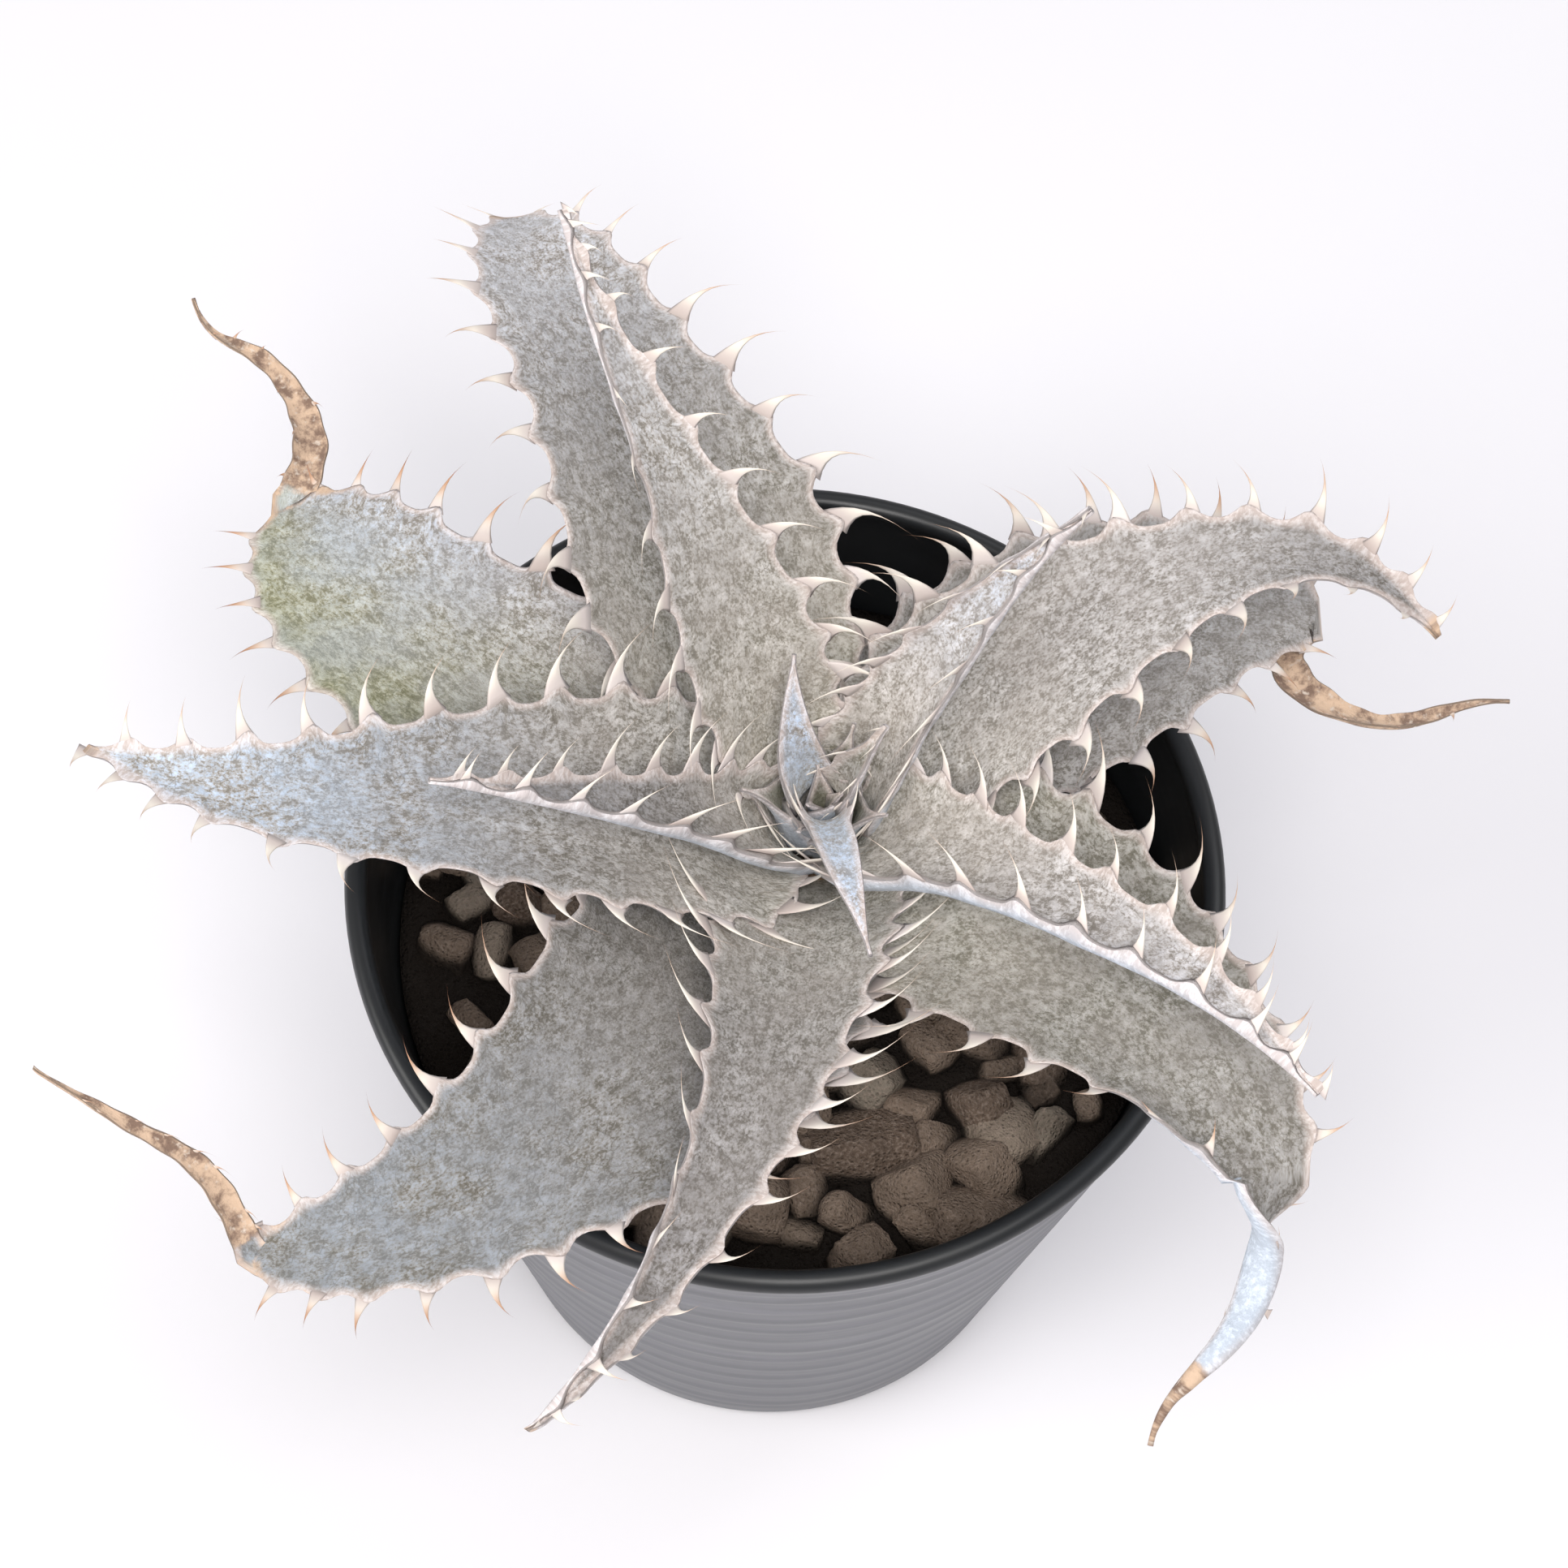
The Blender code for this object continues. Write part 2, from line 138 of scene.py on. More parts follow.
# Stem.
STEM_X = 3.0 * MM
STEM_RADIUS = 4.6 * MM
STEM_SIDES = 48
CAUDEX_RADIUS = 8.0 * MM
CAUDEX_FOOT = 6.5 * MM
CAUDEX_BOTTOM = 60.0 * MM
CAUDEX_LOW = 61.0 * MM
CAUDEX_TOP = 84.4 * MM
CAUDEX_ROWS = 60
SHEATH_TIERS = 8.0
SHEATH_STEP = 0.07
NECK = ((STEM_RADIUS, 84.6 * MM), (STEM_RADIUS, 95.0 * MM), (3.0 * MM, 96.6 * MM), (0.0, 97.0 * MM))
RAGGED_BELOW = 84.5 * MM
RAGGED_SCALE = 0.93

# How near the frame's box a leaf may come before it is bent back.
SOFT_EDGE = 1.2 * MM
BOX_GAP = 0.05 * MM

# Leaves: mesh steps, then how blades and margins are drawn.
BLADE_STEP = 0.55
END_STEP = 0.8 * BLADE_STEP
TOP_POINTS = 15
UNDER_POINTS = 11
SECTION_STEPS = np.linspace(0.0, 1.0, 33)
SIDES = (1.0, -1.0)
NARROW_LEAF = 17.0
NARROWEST = 0.35
WIDE_END = 6.0
# Painted light at the leaf bases: how far a base is lightened against the shade near the heart, unless the
# leaf gives its own; the south-west outer leaf's own value paints its base darker as shadow.
BASE_PAINTED_LIGHT = 1.2
TIP_DRYNESS = 2.0
CLASP_LENGTH = 9.0
CLASP_WIDTH = 9.6
CLASP_FOLD = 1.3
UNDER_OFFSET = 60.0
LEAF_OFFSET = 9.0

# Teeth: how the margin swells to them, their spread along a leaf from base to
# tip, and their form: slimness, hook and lift.
TOOTH_SEED = 5
MARGIN_FLARE = 0.24
FLARE_SPREAD = 1.25
FLARE_STATIONS = 12
TOOTH_REACHES = (6.4, 7.2, 6.6, 5.9, 4.6)
TOOTH_HOOKS = (1.0, 1.0, 0.8, 0.45, 0.3)
TOOTH_GAPS = (3.4, 5.2, 5.8, 5.2, 3.6)
FIRST_TOOTH = 2.6
TOOTH_ROOTED = 0.5
TOOTH_FORM = {"Sides": 8, "Rings": 8, "Thinness": 0.3, "Sink": 0.9 * MM}
HOOK_POWER = 2.2
HOOK_SHORTENS = 0.36
HOOK_BACK = 0.9
TOOTH_LIFT = 0.14

# Colours. A pair holds the two ends of one blend.
SKIN = (0.150, 0.130, 0.108), (0.125, 0.135, 0.050)
FELT = (0.440, 0.410, 0.390), (0.30, 0.295, 0.15)
FLECK = (0.72, 0.685, 0.68), (0.56, 0.67, 0.85)
GREEN_FLECK = (0.47, 0.47, 0.31)
WORN = (0.36, 0.318, 0.28), (0.47, 0.59, 0.75)
UNDERSIDE = (0.44, 0.49, 0.56), (0.62, 0.68, 0.77)
MARGIN = (0.60, 0.50, 0.46), (0.80, 0.72, 0.69)
HORN = (0.66, 0.57, 0.535), (0.78, 0.72, 0.64)
OLD_HORN = (0.50, 0.29, 0.18)
DARK_HORN = (0.20, 0.065, 0.045)
HUSK = (0.20, 0.13, 0.095), (0.58, 0.42, 0.30)
PALE_HUSK = (0.60, 0.51, 0.43)
# The pot's dark grey outside, and the lighter grey of its streaks, which is partly painted sheen.
POT_OUTSIDE_AND_SHEEN = (0.100, 0.102, 0.114), (0.19, 0.19, 0.21)
# Near-black for the rim bead and foot, and as painted shade for the inner wall.
POT_BLACK_AND_PAINTED_SHADE = (0.008, 0.009, 0.010)
PUMICE = (0.105, 0.074, 0.055), (0.27, 0.205, 0.155)
GREY_PUMICE = (0.17, 0.165, 0.135)
PUMICE_SPECK = (0.30, 0.235, 0.19)
DAMP_PUMICE = (0.05, 0.035, 0.026)
# Painted shade: near-black for the bed between the stones and the stones' low sides.
PAINTED_GAP_SHADE = (0.012, 0.009, 0.007)
SHEATH = (0.10, 0.055, 0.03), (0.40, 0.27, 0.16)
DAMP_SHEATH = (0.06, 0.04, 0.03)
TABLE = (0.79, 0.78, 0.81), (0.81, 0.80, 0.825)

# Each leaf's blade, as in the frame: length, widths at even stations, tip
# bluntness, bearings, rises and rolls of its midline in degrees, base height
# and thickness. on_top is how far from the stem's axis a leaf starts, where it
# isn't at the stem's side. fold is how far each half curls up, in radians, at
# its base, middle and tip, and curl how far one margin rolls in further.
# green and blue tint it, age browns its teeth, and the shades at its middle, tip and
# base lighten or darken it: partly the leaf's own paler or darker scurf, partly
# painted light and shade, such as the painted shadow on the south-west outer leaf.
# withered is the end that the blade runs out into: where along it it dries,
# and how far it turns over, from and to, in degrees.
LEAVES = {
    "leaf_north_west_outer": {
        "length": 78, "widths": (15, 25.5, 18.5, 22), "blunt": 5.6,
        "bearing": (120, 121, 122, 110), "rise": (43, 30, 2, -44), "roll": (-1, 1, 3),
        "base": 90.5, "thick": 2.0,
        "fold": (0.8, 0.38, 0.45), "green": 0.15, "blue": 0.35, "age": 0.55,
        "tone_and_painted_light": 0.64, "tip_tone_and_painted_light": 1.1,
    },
    "leaf_north_west_inner": {
        "length": 66, "widths": (12.5, 16.5, 12, 8), "blunt": 1.4,
        "bearing": (131, 127, 125, 112), "rise": (68, 54, 34, 16), "roll": (0, 2, 0),
        "base": 98, "thick": 1.8,
        "fold": (0.7, 0.5, 1.1), "green": 0.1, "blue": 0.3, "age": 0.1, "tone_and_painted_light": 0.88,
        "curl": {1: (0.0, 0.15, 1.2)},
    },
    "leaf_west_outer": {
        "length": 70, "widths": (14, 26, 23, 25), "blunt": 6.6,
        "bearing": (171, 156, 139, 118), "rise": (36, 17, -7, -30), "roll": (-1, -2, -8),
        "base": 86.5, "thick": 2.2,
        "fold": (0.7, 0.34, 0.3), "green": 0.42, "green_side": 1.0, "blue": 0.6, "age": 0.95,
        "tone_and_painted_light": 0.85, "tip_tone_and_painted_light": 1.0,
        "withered": {"length": 29.2, "width": 4.0, "dry_from": 0.0,
                     "bearing": (66, 97, 130, 154, 112), "rise": (11, 4, 13, -8, 21)},
    },
    "leaf_west_middle": {
        "length": 74, "widths": (23, 22, 16.5, 14), "blunt": 3.2,
        "bearing": (196, 193, 185, 159), "rise": (49, 28, 8, -5), "roll": (-5, 0, -2),
        "base": 94.5, "thick": 2.0,
        "fold": (0.7, 0.36, 0.6), "green": 0.1, "blue": 1.0, "age": 0.35, "tone_and_painted_light": 0.7, "tip_tone_and_painted_light": 1.0,
    },
    "leaf_west_inner": {
        "length": 47, "widths": (12.5, 9, 8, 5), "blunt": 1.5,
        "bearing": (209, 203, 196, 190), "rise": (59, 48, 37, 25), "roll": (-8, -2, -1),
        "base": 98, "thick": 1.8,
        "fold": (0.8, 0.7, 1.0), "green": 0.0, "blue": 0.25, "age": 0.05, "tone_and_painted_light": 0.52,
        "curl": {1: (0.1, 1.0, 1.2)},
    },
    "leaf_south_west_outer": {
        "length": 81, "widths": (15, 29.5, 20.5, 18.5), "blunt": 4.8,
        "bearing": (250, 237, 216, 178), "rise": (45, 21, -4, -23), "roll": (-2, -4, -2),
        "base": 88, "thick": 2.2,
        "fold": (0.7, 0.34, 0.4), "green": 0.2, "blue": 0.65, "age": 0.8,
        "tone_and_painted_light": 0.5, "tip_tone_and_painted_light": 0.55, "base_painted_light": 0.46,
        "withered": {"length": 29.1, "width": 3.0, "dry_from": 0.0,
                     "bearing": (119, 133, 161, 161, 160), "rise": (23, 32, 24, 27, 31)},
    },
    "leaf_south_middle": {
        "length": 79, "widths": (19, 16.5, 12, 8.5), "blunt": 1.8,
        "bearing": (266, 262, 248, 224), "rise": (48, 28, 5, -16), "roll": (1, 0, 0),
        "base": 92.5, "thick": 2.0,
        "fold": (0.7, 0.45, 1.2), "green": 0.05, "blue": 0.1, "age": 0.3, "tone_and_painted_light": 0.57, "tip_tone_and_painted_light": 0.42,
        "curl": {-1: (0.0, 0.4, 1.6)},
    },
    "leaf_south_east_outer": {
        "length": 79, "widths": (26, 27.5, 22, 9), "blunt": 2.1,
        "bearing": (334, 321, 302, 243), "rise": (39, 21, 0, -38), "roll": (4, 6, 4, -35),
        "base": 89.5, "thick": 2.2,
        "fold": (0.7, 0.36, 1.0), "green": 0.2, "blue": 0.1, "age": 0.7, "tone_and_painted_light": 0.61, "base_painted_light": 1.7,
        "curl": {-1: (0.0, 0.2, 2.9)},
        "withered": {"length": 29.2, "width": 8.5, "dry_from": 0.62, "turn": (-35.0, -165.0),
                     "bearing": (262, 271, 241, 225, 260), "rise": (-32, -28, 0, -27, -30)},
    },
    "leaf_east_inner": {
        "length": 64, "widths": (16.5, 10.5, 9.5, 8), "blunt": 2.2,
        "bearing": (328, 324, 321, 313), "rise": (55, 35, 18, -2), "roll": (2, 0, 0),
        "base": 97, "thick": 1.8,
        "fold": (0.8, 0.6, 0.9), "green": 0.0, "blue": 0.2, "age": 0.2, "tone_and_painted_light": 0.92,
        "curl": {-1: (0.1, 1.5, 1.6)},
    },
    "leaf_north_east_middle": {
        "length": 70, "widths": (15, 22.5, 17.5, 13.5), "blunt": 1.9,
        "bearing": (38, 29, 14, -45), "rise": (51, 31, 13, -15), "roll": (1, 1, 0),
        "base": 93, "thick": 2.0,
        "fold": (0.7, 0.4, 0.8), "green": 0.05, "blue": 0.15, "age": 0.5, "tone_and_painted_light": 0.86, "tip_tone_and_painted_light": 0.46,
    },
    "leaf_north_east_outer": {
        "length": 58, "widths": (15, 25, 24.5, 20), "blunt": 5.3,
        "bearing": (48, 33, 21, -8), "rise": (37, 18, 4, -19), "roll": (1, 4, 1),
        "base": 87, "thick": 2.2,
        "fold": (0.7, 0.34, 0.4), "green": 0.1, "blue": 0.15, "age": 0.8, "tone_and_painted_light": 0.75,
        "withered": {"length": 32.2, "width": 4.0, "dry_from": 0.0,
                     "bearing": (-156, -57, -5, 24, 3), "rise": (-18, 6, -17, 2, -2)},
    },
    "leaf_north_east_inner": {
        "length": 42, "widths": (9.5, 9.5, 8, 4.5), "blunt": 1.7,
        "bearing": (46, 40, 36, 30), "rise": (67, 56, 48, 37), "roll": (0, 1, 0),
        "base": 98, "thick": 1.8,
        "fold": (0.8, 0.6, 0.9), "green": 0.0, "blue": 0.55, "age": 0.05, "tone_and_painted_light": 1.0,
        "curl": {1: (0.1, 0.7, 1.3), -1: (0.1, 0.8, 1.4)},
    },
    "leaf_heart_back": {
        "length": 18, "widths": (4.5, 5, 4, 3), "blunt": 2.2,
        "bearing": (140, 119, 102, 90), "rise": (80, 75, 63, 50), "roll": (0, 0, 0),
        "base": 101.7, "thick": 1.2, "on_top": 2.4,
        "fold": (1.0, 0.7, 0.5), "green": 0.0, "blue": 0.9, "blue_from": -0.5, "age": 0.0,
        "tone_and_painted_light": 1.05, "toothless_from": 0.35,
    },
    "leaf_heart_front": {
        "length": 30, "widths": (3.6, 4.4, 4.2, 2.4), "blunt": 2.6,
        "bearing": (278, 282, 284, 285), "rise": (65, 48, 31, 15), "roll": (0, 0, 0),
        "base": 101.7, "thick": 1.2, "on_top": 2.4,
        "fold": (1.0, 0.6, 0.5), "green": 0.0, "blue": 0.95, "blue_from": -0.5, "age": 0.0,
        "tone_and_painted_light": 1.1, "toothless_from": 0.3,
    },
    "leaf_heart_side": {
        "length": 12, "widths": (3.4, 3.6, 3, 2), "blunt": 2.0,
        "bearing": (25, 30, 35, 40), "rise": (80, 72, 62, 55), "roll": (0, 0, 0),
        "base": 101.7, "thick": 1.0, "on_top": 2.2,
        "fold": (1.2, 1.2, 1.2), "green": 0.5, "blue": 0.3, "age": 0.0, "tone_and_painted_light": 0.7,
    },
}

# Young leaves that close the heart; they belong to this node's piece.
HEART_NODE = "leaf_heart_side"
BUD_SEED = 20
YOUNG_LEAVES = [
    {"length": length, "widths": tuple(wide * w for w in (6.2, 5.6, 4.0, 1.8)), "blunt": 1.6,
     "bearing": (bearing, bearing + 4, bearing + 8), "rise": rise, "roll": (0, 0, 0),
     "base": 97.4, "thick": 0.9, "on_top": out, "fold": (1.0, 0.8, 0.6),
     "green": 0.8, "blue": 0.1, "age": 0.0, "tone_and_painted_light": tone_and_painted_light, "toothless_from": 0.6}
    for length, bearing, rise, out, tone_and_painted_light, wide in (
        (13.0, 196.0, (84, 70, 48), 3.6, 0.8, 1.0),
        (12.0, 325.0, (84, 72, 50), 3.4, 0.75, 1.0),
        (11.5, 62.0, (86, 76, 58), 3.2, 0.75, 1.0),
        (11.0, 248.0, (86, 74, 50), 2.8, 0.65, 1.0),
        (10.0, 150.0, (86, 80, 60), 2.0, 0.65, 1.0),
        (9.5, 10.0, (86, 82, 70), 1.8, 0.6, 1.0),
        (9.0, 290.0, (86, 82, 74), 1.2, 0.55, 0.8),
        (8.5, 100.0, (88, 78, 62), 0.5, 0.6, 0.5),
        (8.0, 230.0, (88, 78, 62), 0.4, 0.6, 0.45),
        (7.5, 350.0, (88, 80, 68), 0.5, 0.6, 0.4),
    )
]


# Node trees.

class Value:
    """One output of a node; arithmetic on it adds the math nodes that do it."""

    def __init__(self, tree, socket):
        self.tree = tree
        self.socket = socket

    def __add__(self, other):
        return calc("ADD", self, other)

    def __sub__(self, other):
        return calc("SUBTRACT", self, other)

    def __rsub__(self, other):
        return calc("SUBTRACT", other, self)

    def __mul__(self, other):
        return calc("MULTIPLY", self, other)

    def __truediv__(self, other):
        return calc("DIVIDE", self, other)

    def __pow__(self, other):
        return calc("POWER", self, other)


def plug(socket, value):
    """Link a Value into a socket, or set anything else on it as it is."""
    if isinstance(value, Value):
        value.tree.links.new(value.socket, socket)
    else:
        socket.default_value = value


def add_node(tree, kind, settings=None, **sockets):
    """Add a node; its sockets are given by name, with _ for a space."""
    made = tree.nodes.new(kind)
    for name, value in (settings or {}).items():
        setattr(made, name, value)
    for name, value in sockets.items():
        plug(made.inputs[name.replace("_", " ")], value)
    return made


def take(tree, kind, settings=None, output=0, **sockets):
    """Add a node and take one of its outputs."""
    return Value(tree, add_node(tree, kind, settings, **sockets).outputs[output])


def tree_of(*values):
    return next(value.tree for value in values if isinstance(value, Value))


def calc(operation, *values):
    """A sum on numbers."""
    tree = tree_of(*values)
    made = add_node(tree, "ShaderNodeMath", {"operation": operation})
    for socket, value in zip(made.inputs, values):
        plug(socket, value)
    return Value(tree, made.outputs[0])


def vector_calc(operation, first, second=None):
    """A sum on vectors; SCALE takes a number as its second value."""
    tree = tree_of(first, second)
    made = add_node(tree, "ShaderNodeVectorMath", {"operation": operation})
    plug(made.inputs[0], first)
    if second is not None:
        plug(made.inputs["Scale" if operation == "SCALE" else 1], second)
    return Value(tree, made.outputs[0])


def scaled(vector, amount):
    return vector_calc("SCALE", vector, amount)


def summed(first, second):
    return vector_calc("ADD", first, second)


def stretched(vector, factors):
    return vector_calc("MULTIPLY", vector, factors)


def parts(vector):
    """The three numbers of a vector."""
    split = add_node(vector.tree, "ShaderNodeSeparateXYZ", Vector=vector)
    return [Value(vector.tree, socket) for socket in split.outputs]


def blend_colour(share, first, second):
    """From the first colour at share 0 to the second one at share 1."""
    tree = tree_of(share, first, second)
    made = add_node(tree, "ShaderNodeMix", {"data_type": "RGBA"})
    for i, value in zip((0, 6, 7), (share, first, second)):
        plug(made.inputs[i], (*value, 1.0) if isinstance(value, tuple) else value)
    return Value(tree, made.outputs[2])


def stepped(value, low, high, out_low=0.0, out_high=1.0):
    """A smooth step of value from low to high."""
    return take(value.tree, "ShaderNodeMapRange", {"interpolation_type": "SMOOTHSTEP"}, "Result",
                Value=value, From_Min=low, From_Max=high, To_Min=out_low, To_Max=out_high)


def noise(place, scale, detail=3.0, roughness=0.55):
    return take(place.tree, "ShaderNodeTexNoise", Vector=place, Scale=scale, Detail=detail,
                Roughness=roughness)


def new_group(name, kind, inputs, outputs):
    """A node group: its tree, its inputs by name, and its output node.

    A number given for an input is its default; a word is the kind of socket.
    """
    tree = bpy.data.node_groups.new(name, kind)
    for label, value in inputs.items():
        word = value if isinstance(value, str) else type(value).__name__.capitalize()
        made = tree.interface.new_socket(label, in_out="INPUT", socket_type="NodeSocket" + word)
        if not isinstance(value, str):
            made.default_value = value
    out_kind = "NodeSocketGeometry" if kind == "GeometryNodeTree" else "NodeSocketFloat"
    for label in outputs:
        tree.interface.new_socket(label, in_out="OUTPUT", socket_type=out_kind)
    source = tree.nodes.new("NodeGroupInput")
    given = {label: Value(tree, source.outputs[label]) for label in inputs}
    return tree, given, tree.nodes.new("NodeGroupOutput")


def use_group(tree, group, **sockets):
    """Add a shader group and return its outputs by name."""
    made = add_node(tree, "ShaderNodeGroup", {"node_tree": group}, **sockets)
    return {socket.name: Value(tree, socket) for socket in made.outputs}


# Shader groups.

def make_felt_group():
    """Fine scales lying along a surface: light flecks, dark gaps, mottling and patches."""
    tree, given, sink = new_group(
        "scale felt", "ShaderNodeTree",
        {"Place": "Vector", "Flecks per unit": 2.0, "Stretch": 0.45, "Mottle size": 0.8,
         "Patch size": 0.16},
        ("Flecks", "Gaps", "Mottle", "Patches", "Height"),
    )
    place = given["Place"]
    per_unit = given["Flecks per unit"]
    drawn = stretched(place, take(tree, "ShaderNodeCombineXYZ", X=1.0, Y=given["Stretch"], Z=1.0))
    fine = noise(drawn, per_unit, 3.0, 0.65)
    coarse = noise(drawn, per_unit * 0.3, 3.0, 0.6)
    both = fine * 0.55 + coarse * 0.45
    mottle = noise(drawn, given["Mottle size"], 4.0, 0.65)
    patches = noise(place, given["Patch size"], 3.0, 0.6)
    plug(sink.inputs["Flecks"], stepped(both, 0.43, 0.62))
    plug(sink.inputs["Gaps"], stepped(both, 0.49, 0.41))
    plug(sink.inputs["Mottle"], stepped(mottle, 0.36, 0.64))
    plug(sink.inputs["Patches"], stepped(patches, 0.36, 0.62))
    plug(sink.inputs["Height"], both * 0.6 + mottle * 0.8)
    return tree


def make_stone_group():
    """Porous grain: pits, speckle and damp patches, for gravel and bark."""
    tree, given, sink = new_group(
        "porous grain", "ShaderNodeTree",
        {"Place": "Vector", "Pits per metre": 1500.0, "Damp size": 160.0},
        ("Speckle", "Damp", "Height"),
    )
    place = given["Place"]
    pits = take(tree, "ShaderNodeTexVoronoi", {"feature": "F1"}, "Distance", Vector=place,
                Scale=given["Pits per metre"])
    speckle = noise(place, given["Pits per metre"], 4.0, 0.6)
    damp = noise(place, given["Damp size"], 3.0, 0.6)
    plug(sink.inputs["Speckle"], speckle)
    plug(sink.inputs["Damp"], stepped(damp, 0.35, 0.68))
    plug(sink.inputs["Height"], stepped(pits, 0.0, 0.5) * 0.5 + speckle)
    return tree


# Materials.

def new_material(name):
    material = bpy.data.materials.new(name)
    material.use_nodes = True
    tree = material.node_tree
    return material, tree, tree.nodes["Principled BSDF"]


def attribute(tree, name, output="Fac"):
    return take(tree, "ShaderNodeAttribute", {"attribute_name": name}, output)


def own_place(tree):
    return take(tree, "ShaderNodeTexCoord", None, "Object")


def add_bump(shader, height, strength, distance):
    bump = take(height.tree, "ShaderNodeBump", Height=height, Strength=strength, Distance=distance)
    plug(shader.inputs["Normal"], bump)


def felted_top(place, scales, green, blue):
    """The grey upper face: flecks and gaps, cracks in places, patches worn of their scales."""
    skin = blend_colour(green, *SKIN)
    pale = blend_colour(green, blend_colour(blue, *FLECK), GREEN_FLECK)
    top = blend_colour(scales["Flecks"], blend_colour(green, *FELT), pale)
    top = blend_colour(scales["Gaps"] * 0.62, top, skin)
    top = blend_colour(scales["Mottle"] * 0.30, top, skin)
    bent = summed(place, scaled((1.0, 0.6, 0.0), noise(place, 1.7, 3.0, 0.6)))
    cracks = take(place.tree, "ShaderNodeTexVoronoi", {"feature": "DISTANCE_TO_EDGE"}, "Distance",
                  Vector=bent, Scale=1.15)
    cracked = stepped(cracks, 0.09, 0.0) * stepped(noise(place, 0.5), 0.46, 0.6)
    top = blend_colour(cracked * 0.6, top, skin)
    return blend_colour(scales["Patches"] * 0.35, top, blend_colour(blue, *WORN))


def tooth_horn(up_tooth, age):
    """Pale horn that browns towards the tooth's point, the more so with age."""
    browned = up_tooth + age * 0.55
    horn = blend_colour(stepped(browned, 0.05, 0.45), *HORN)
    horn = blend_colour(stepped(browned, 0.6, 1.1), horn, OLD_HORN)
    return blend_colour(stepped(browned, 1.0, 1.45), horn, DARK_HORN)


def scaly_leaf(felt):
    """Grey felt of scales over green, pale margins and teeth, pale underside, dried ends."""
    material, tree, shader = new_material("scaly_leaf")
    place = attribute(tree, "leaf_place", "Vector")
    dry = attribute(tree, "dry")
    green, blue, age = parts(attribute(tree, "tints", "Vector"))
    up_tooth = parts(attribute(tree, "tooth_local", "Vector"))[2]
    scales = use_group(tree, felt, Place=place, Flecks_per_unit=4.2, Stretch=0.62, Mottle_size=0.95,
                       Patch_size=0.13)

    # The upper face is scaled by the leaf's lightness: its own tone, with painted light and shade.
    top = scaled(felted_top(place, scales, green, blue), attribute(tree, "tone_and_painted_light"))
    under = blend_colour(scales["Flecks"], *UNDERSIDE)
    face = blend_colour(attribute(tree, "under"), top, under)
    edge = blend_colour(scales["Flecks"], *MARGIN)
    face = blend_colour(stepped(attribute(tree, "rim"), 0.45, 1.0, 0.0, 0.7), face, edge)
    horny = attribute(tree, "on_tooth") * stepped(up_tooth, 0.08, 0.42)
    face = blend_colour(horny, face, tooth_horn(up_tooth, age))

    blotches = noise(place, 0.55, 4.0, 0.65)
    husk = blend_colour(stepped(blotches, 0.36, 0.6), *HUSK)
    husk = blend_colour(stepped(noise(place, 1.3), 0.55, 0.75), husk, PALE_HUSK)
    patchy = dry + (blotches - 0.5) * 0.9
    withered = stepped(patchy, 0.35, 0.75) * stepped(dry, 0.0, 0.1)
    plug(shader.inputs["Base Color"], blend_colour(withered, face, husk))
    plug(shader.inputs["Roughness"], stepped(scales["Height"], 0.3, 0.7, 0.62, 0.86))
    shader.inputs["Sheen Weight"].default_value = 0.12
    shader.inputs["Sheen Roughness"].default_value = 0.5
    shader.inputs["Specular IOR Level"].default_value = 0.35
    add_bump(shader, scales["Height"], 0.85, 0.4 * MM)
    return material


def pot_plastic():
    """Dark satin polypropylene: the inside painted near-black as shade, the rim bead and
    foot as dark; greyer outside, streaked in part with painted sheen along the ribs.
    """
    material, tree, shader = new_material("pot_plastic")
    place = own_place(tree)
    outer = attribute(tree, "outer")
    streaks_and_sheen = noise(stretched(place, (30.0, 30.0, 260.0)), 1.0, 3.0, 0.6)
    fine = noise(stretched(place, (30.0, 30.0, 800.0)), 1.0, 2.0, 0.5)
    # The lighter streaks are partly painted sheen along the ribs.
    grey = blend_colour(stepped(streaks_and_sheen, 0.45, 0.75), *POT_OUTSIDE_AND_SHEEN)
    # Where the outer mark is low, the inner wall takes painted shade and the bead and foot their dark colour.
    plug(shader.inputs["Base Color"], blend_colour(outer, POT_BLACK_AND_PAINTED_SHADE, grey))
    plug(shader.inputs["Roughness"], stepped(streaks_and_sheen, 0.3, 0.7, 0.36, 0.5))
    add_bump(shader, (streaks_and_sheen * 0.7 + fine * 0.3) * outer, 0.5, 0.2 * MM)
    return material


def pumice(grain):
    """Damp brown pumice: each stone has its own tone; the bed between the stones and the
    stones' low sides are painted near-black as shade.
    """
    material, tree, shader = new_material("pumice")
    place = own_place(tree)
    stone = use_group(tree, grain, Place=place, Pits_per_metre=2300.0, Damp_size=190.0)
    tone = attribute(tree, "grain_tone")
    colour = blend_colour(tone, *PUMICE)
    colour = blend_colour(stepped(tone, 0.8, 1.0, 0.0, 0.6), colour, GREY_PUMICE)
    colour = blend_colour(stepped(stone["Speckle"], 0.4, 0.75, 0.0, 0.7), colour, PUMICE_SPECK)
    colour = blend_colour(stone["Damp"] * 0.4, colour, DAMP_PUMICE)
    # Painted shade: the bed, marked deep, and the parts of stones low near it go near-black.
    painted_low_shade = stepped(parts(place)[2], BED_LEVEL + GAP_TOP, BED_LEVEL + GAP_BOTTOM, 0.0, 0.95)
    colour = blend_colour(calc("MAXIMUM", attribute(tree, "deep"), painted_low_shade), colour, PAINTED_GAP_SHADE)
    plug(shader.inputs["Base Color"], colour)
    plug(shader.inputs["Roughness"], stepped(stone["Damp"], 0.0, 1.0, 0.92, 0.62))
    shader.inputs["Specular IOR Level"].default_value = 0.12
    add_bump(shader, stone["Height"], 0.8, 0.6 * MM)
    return material


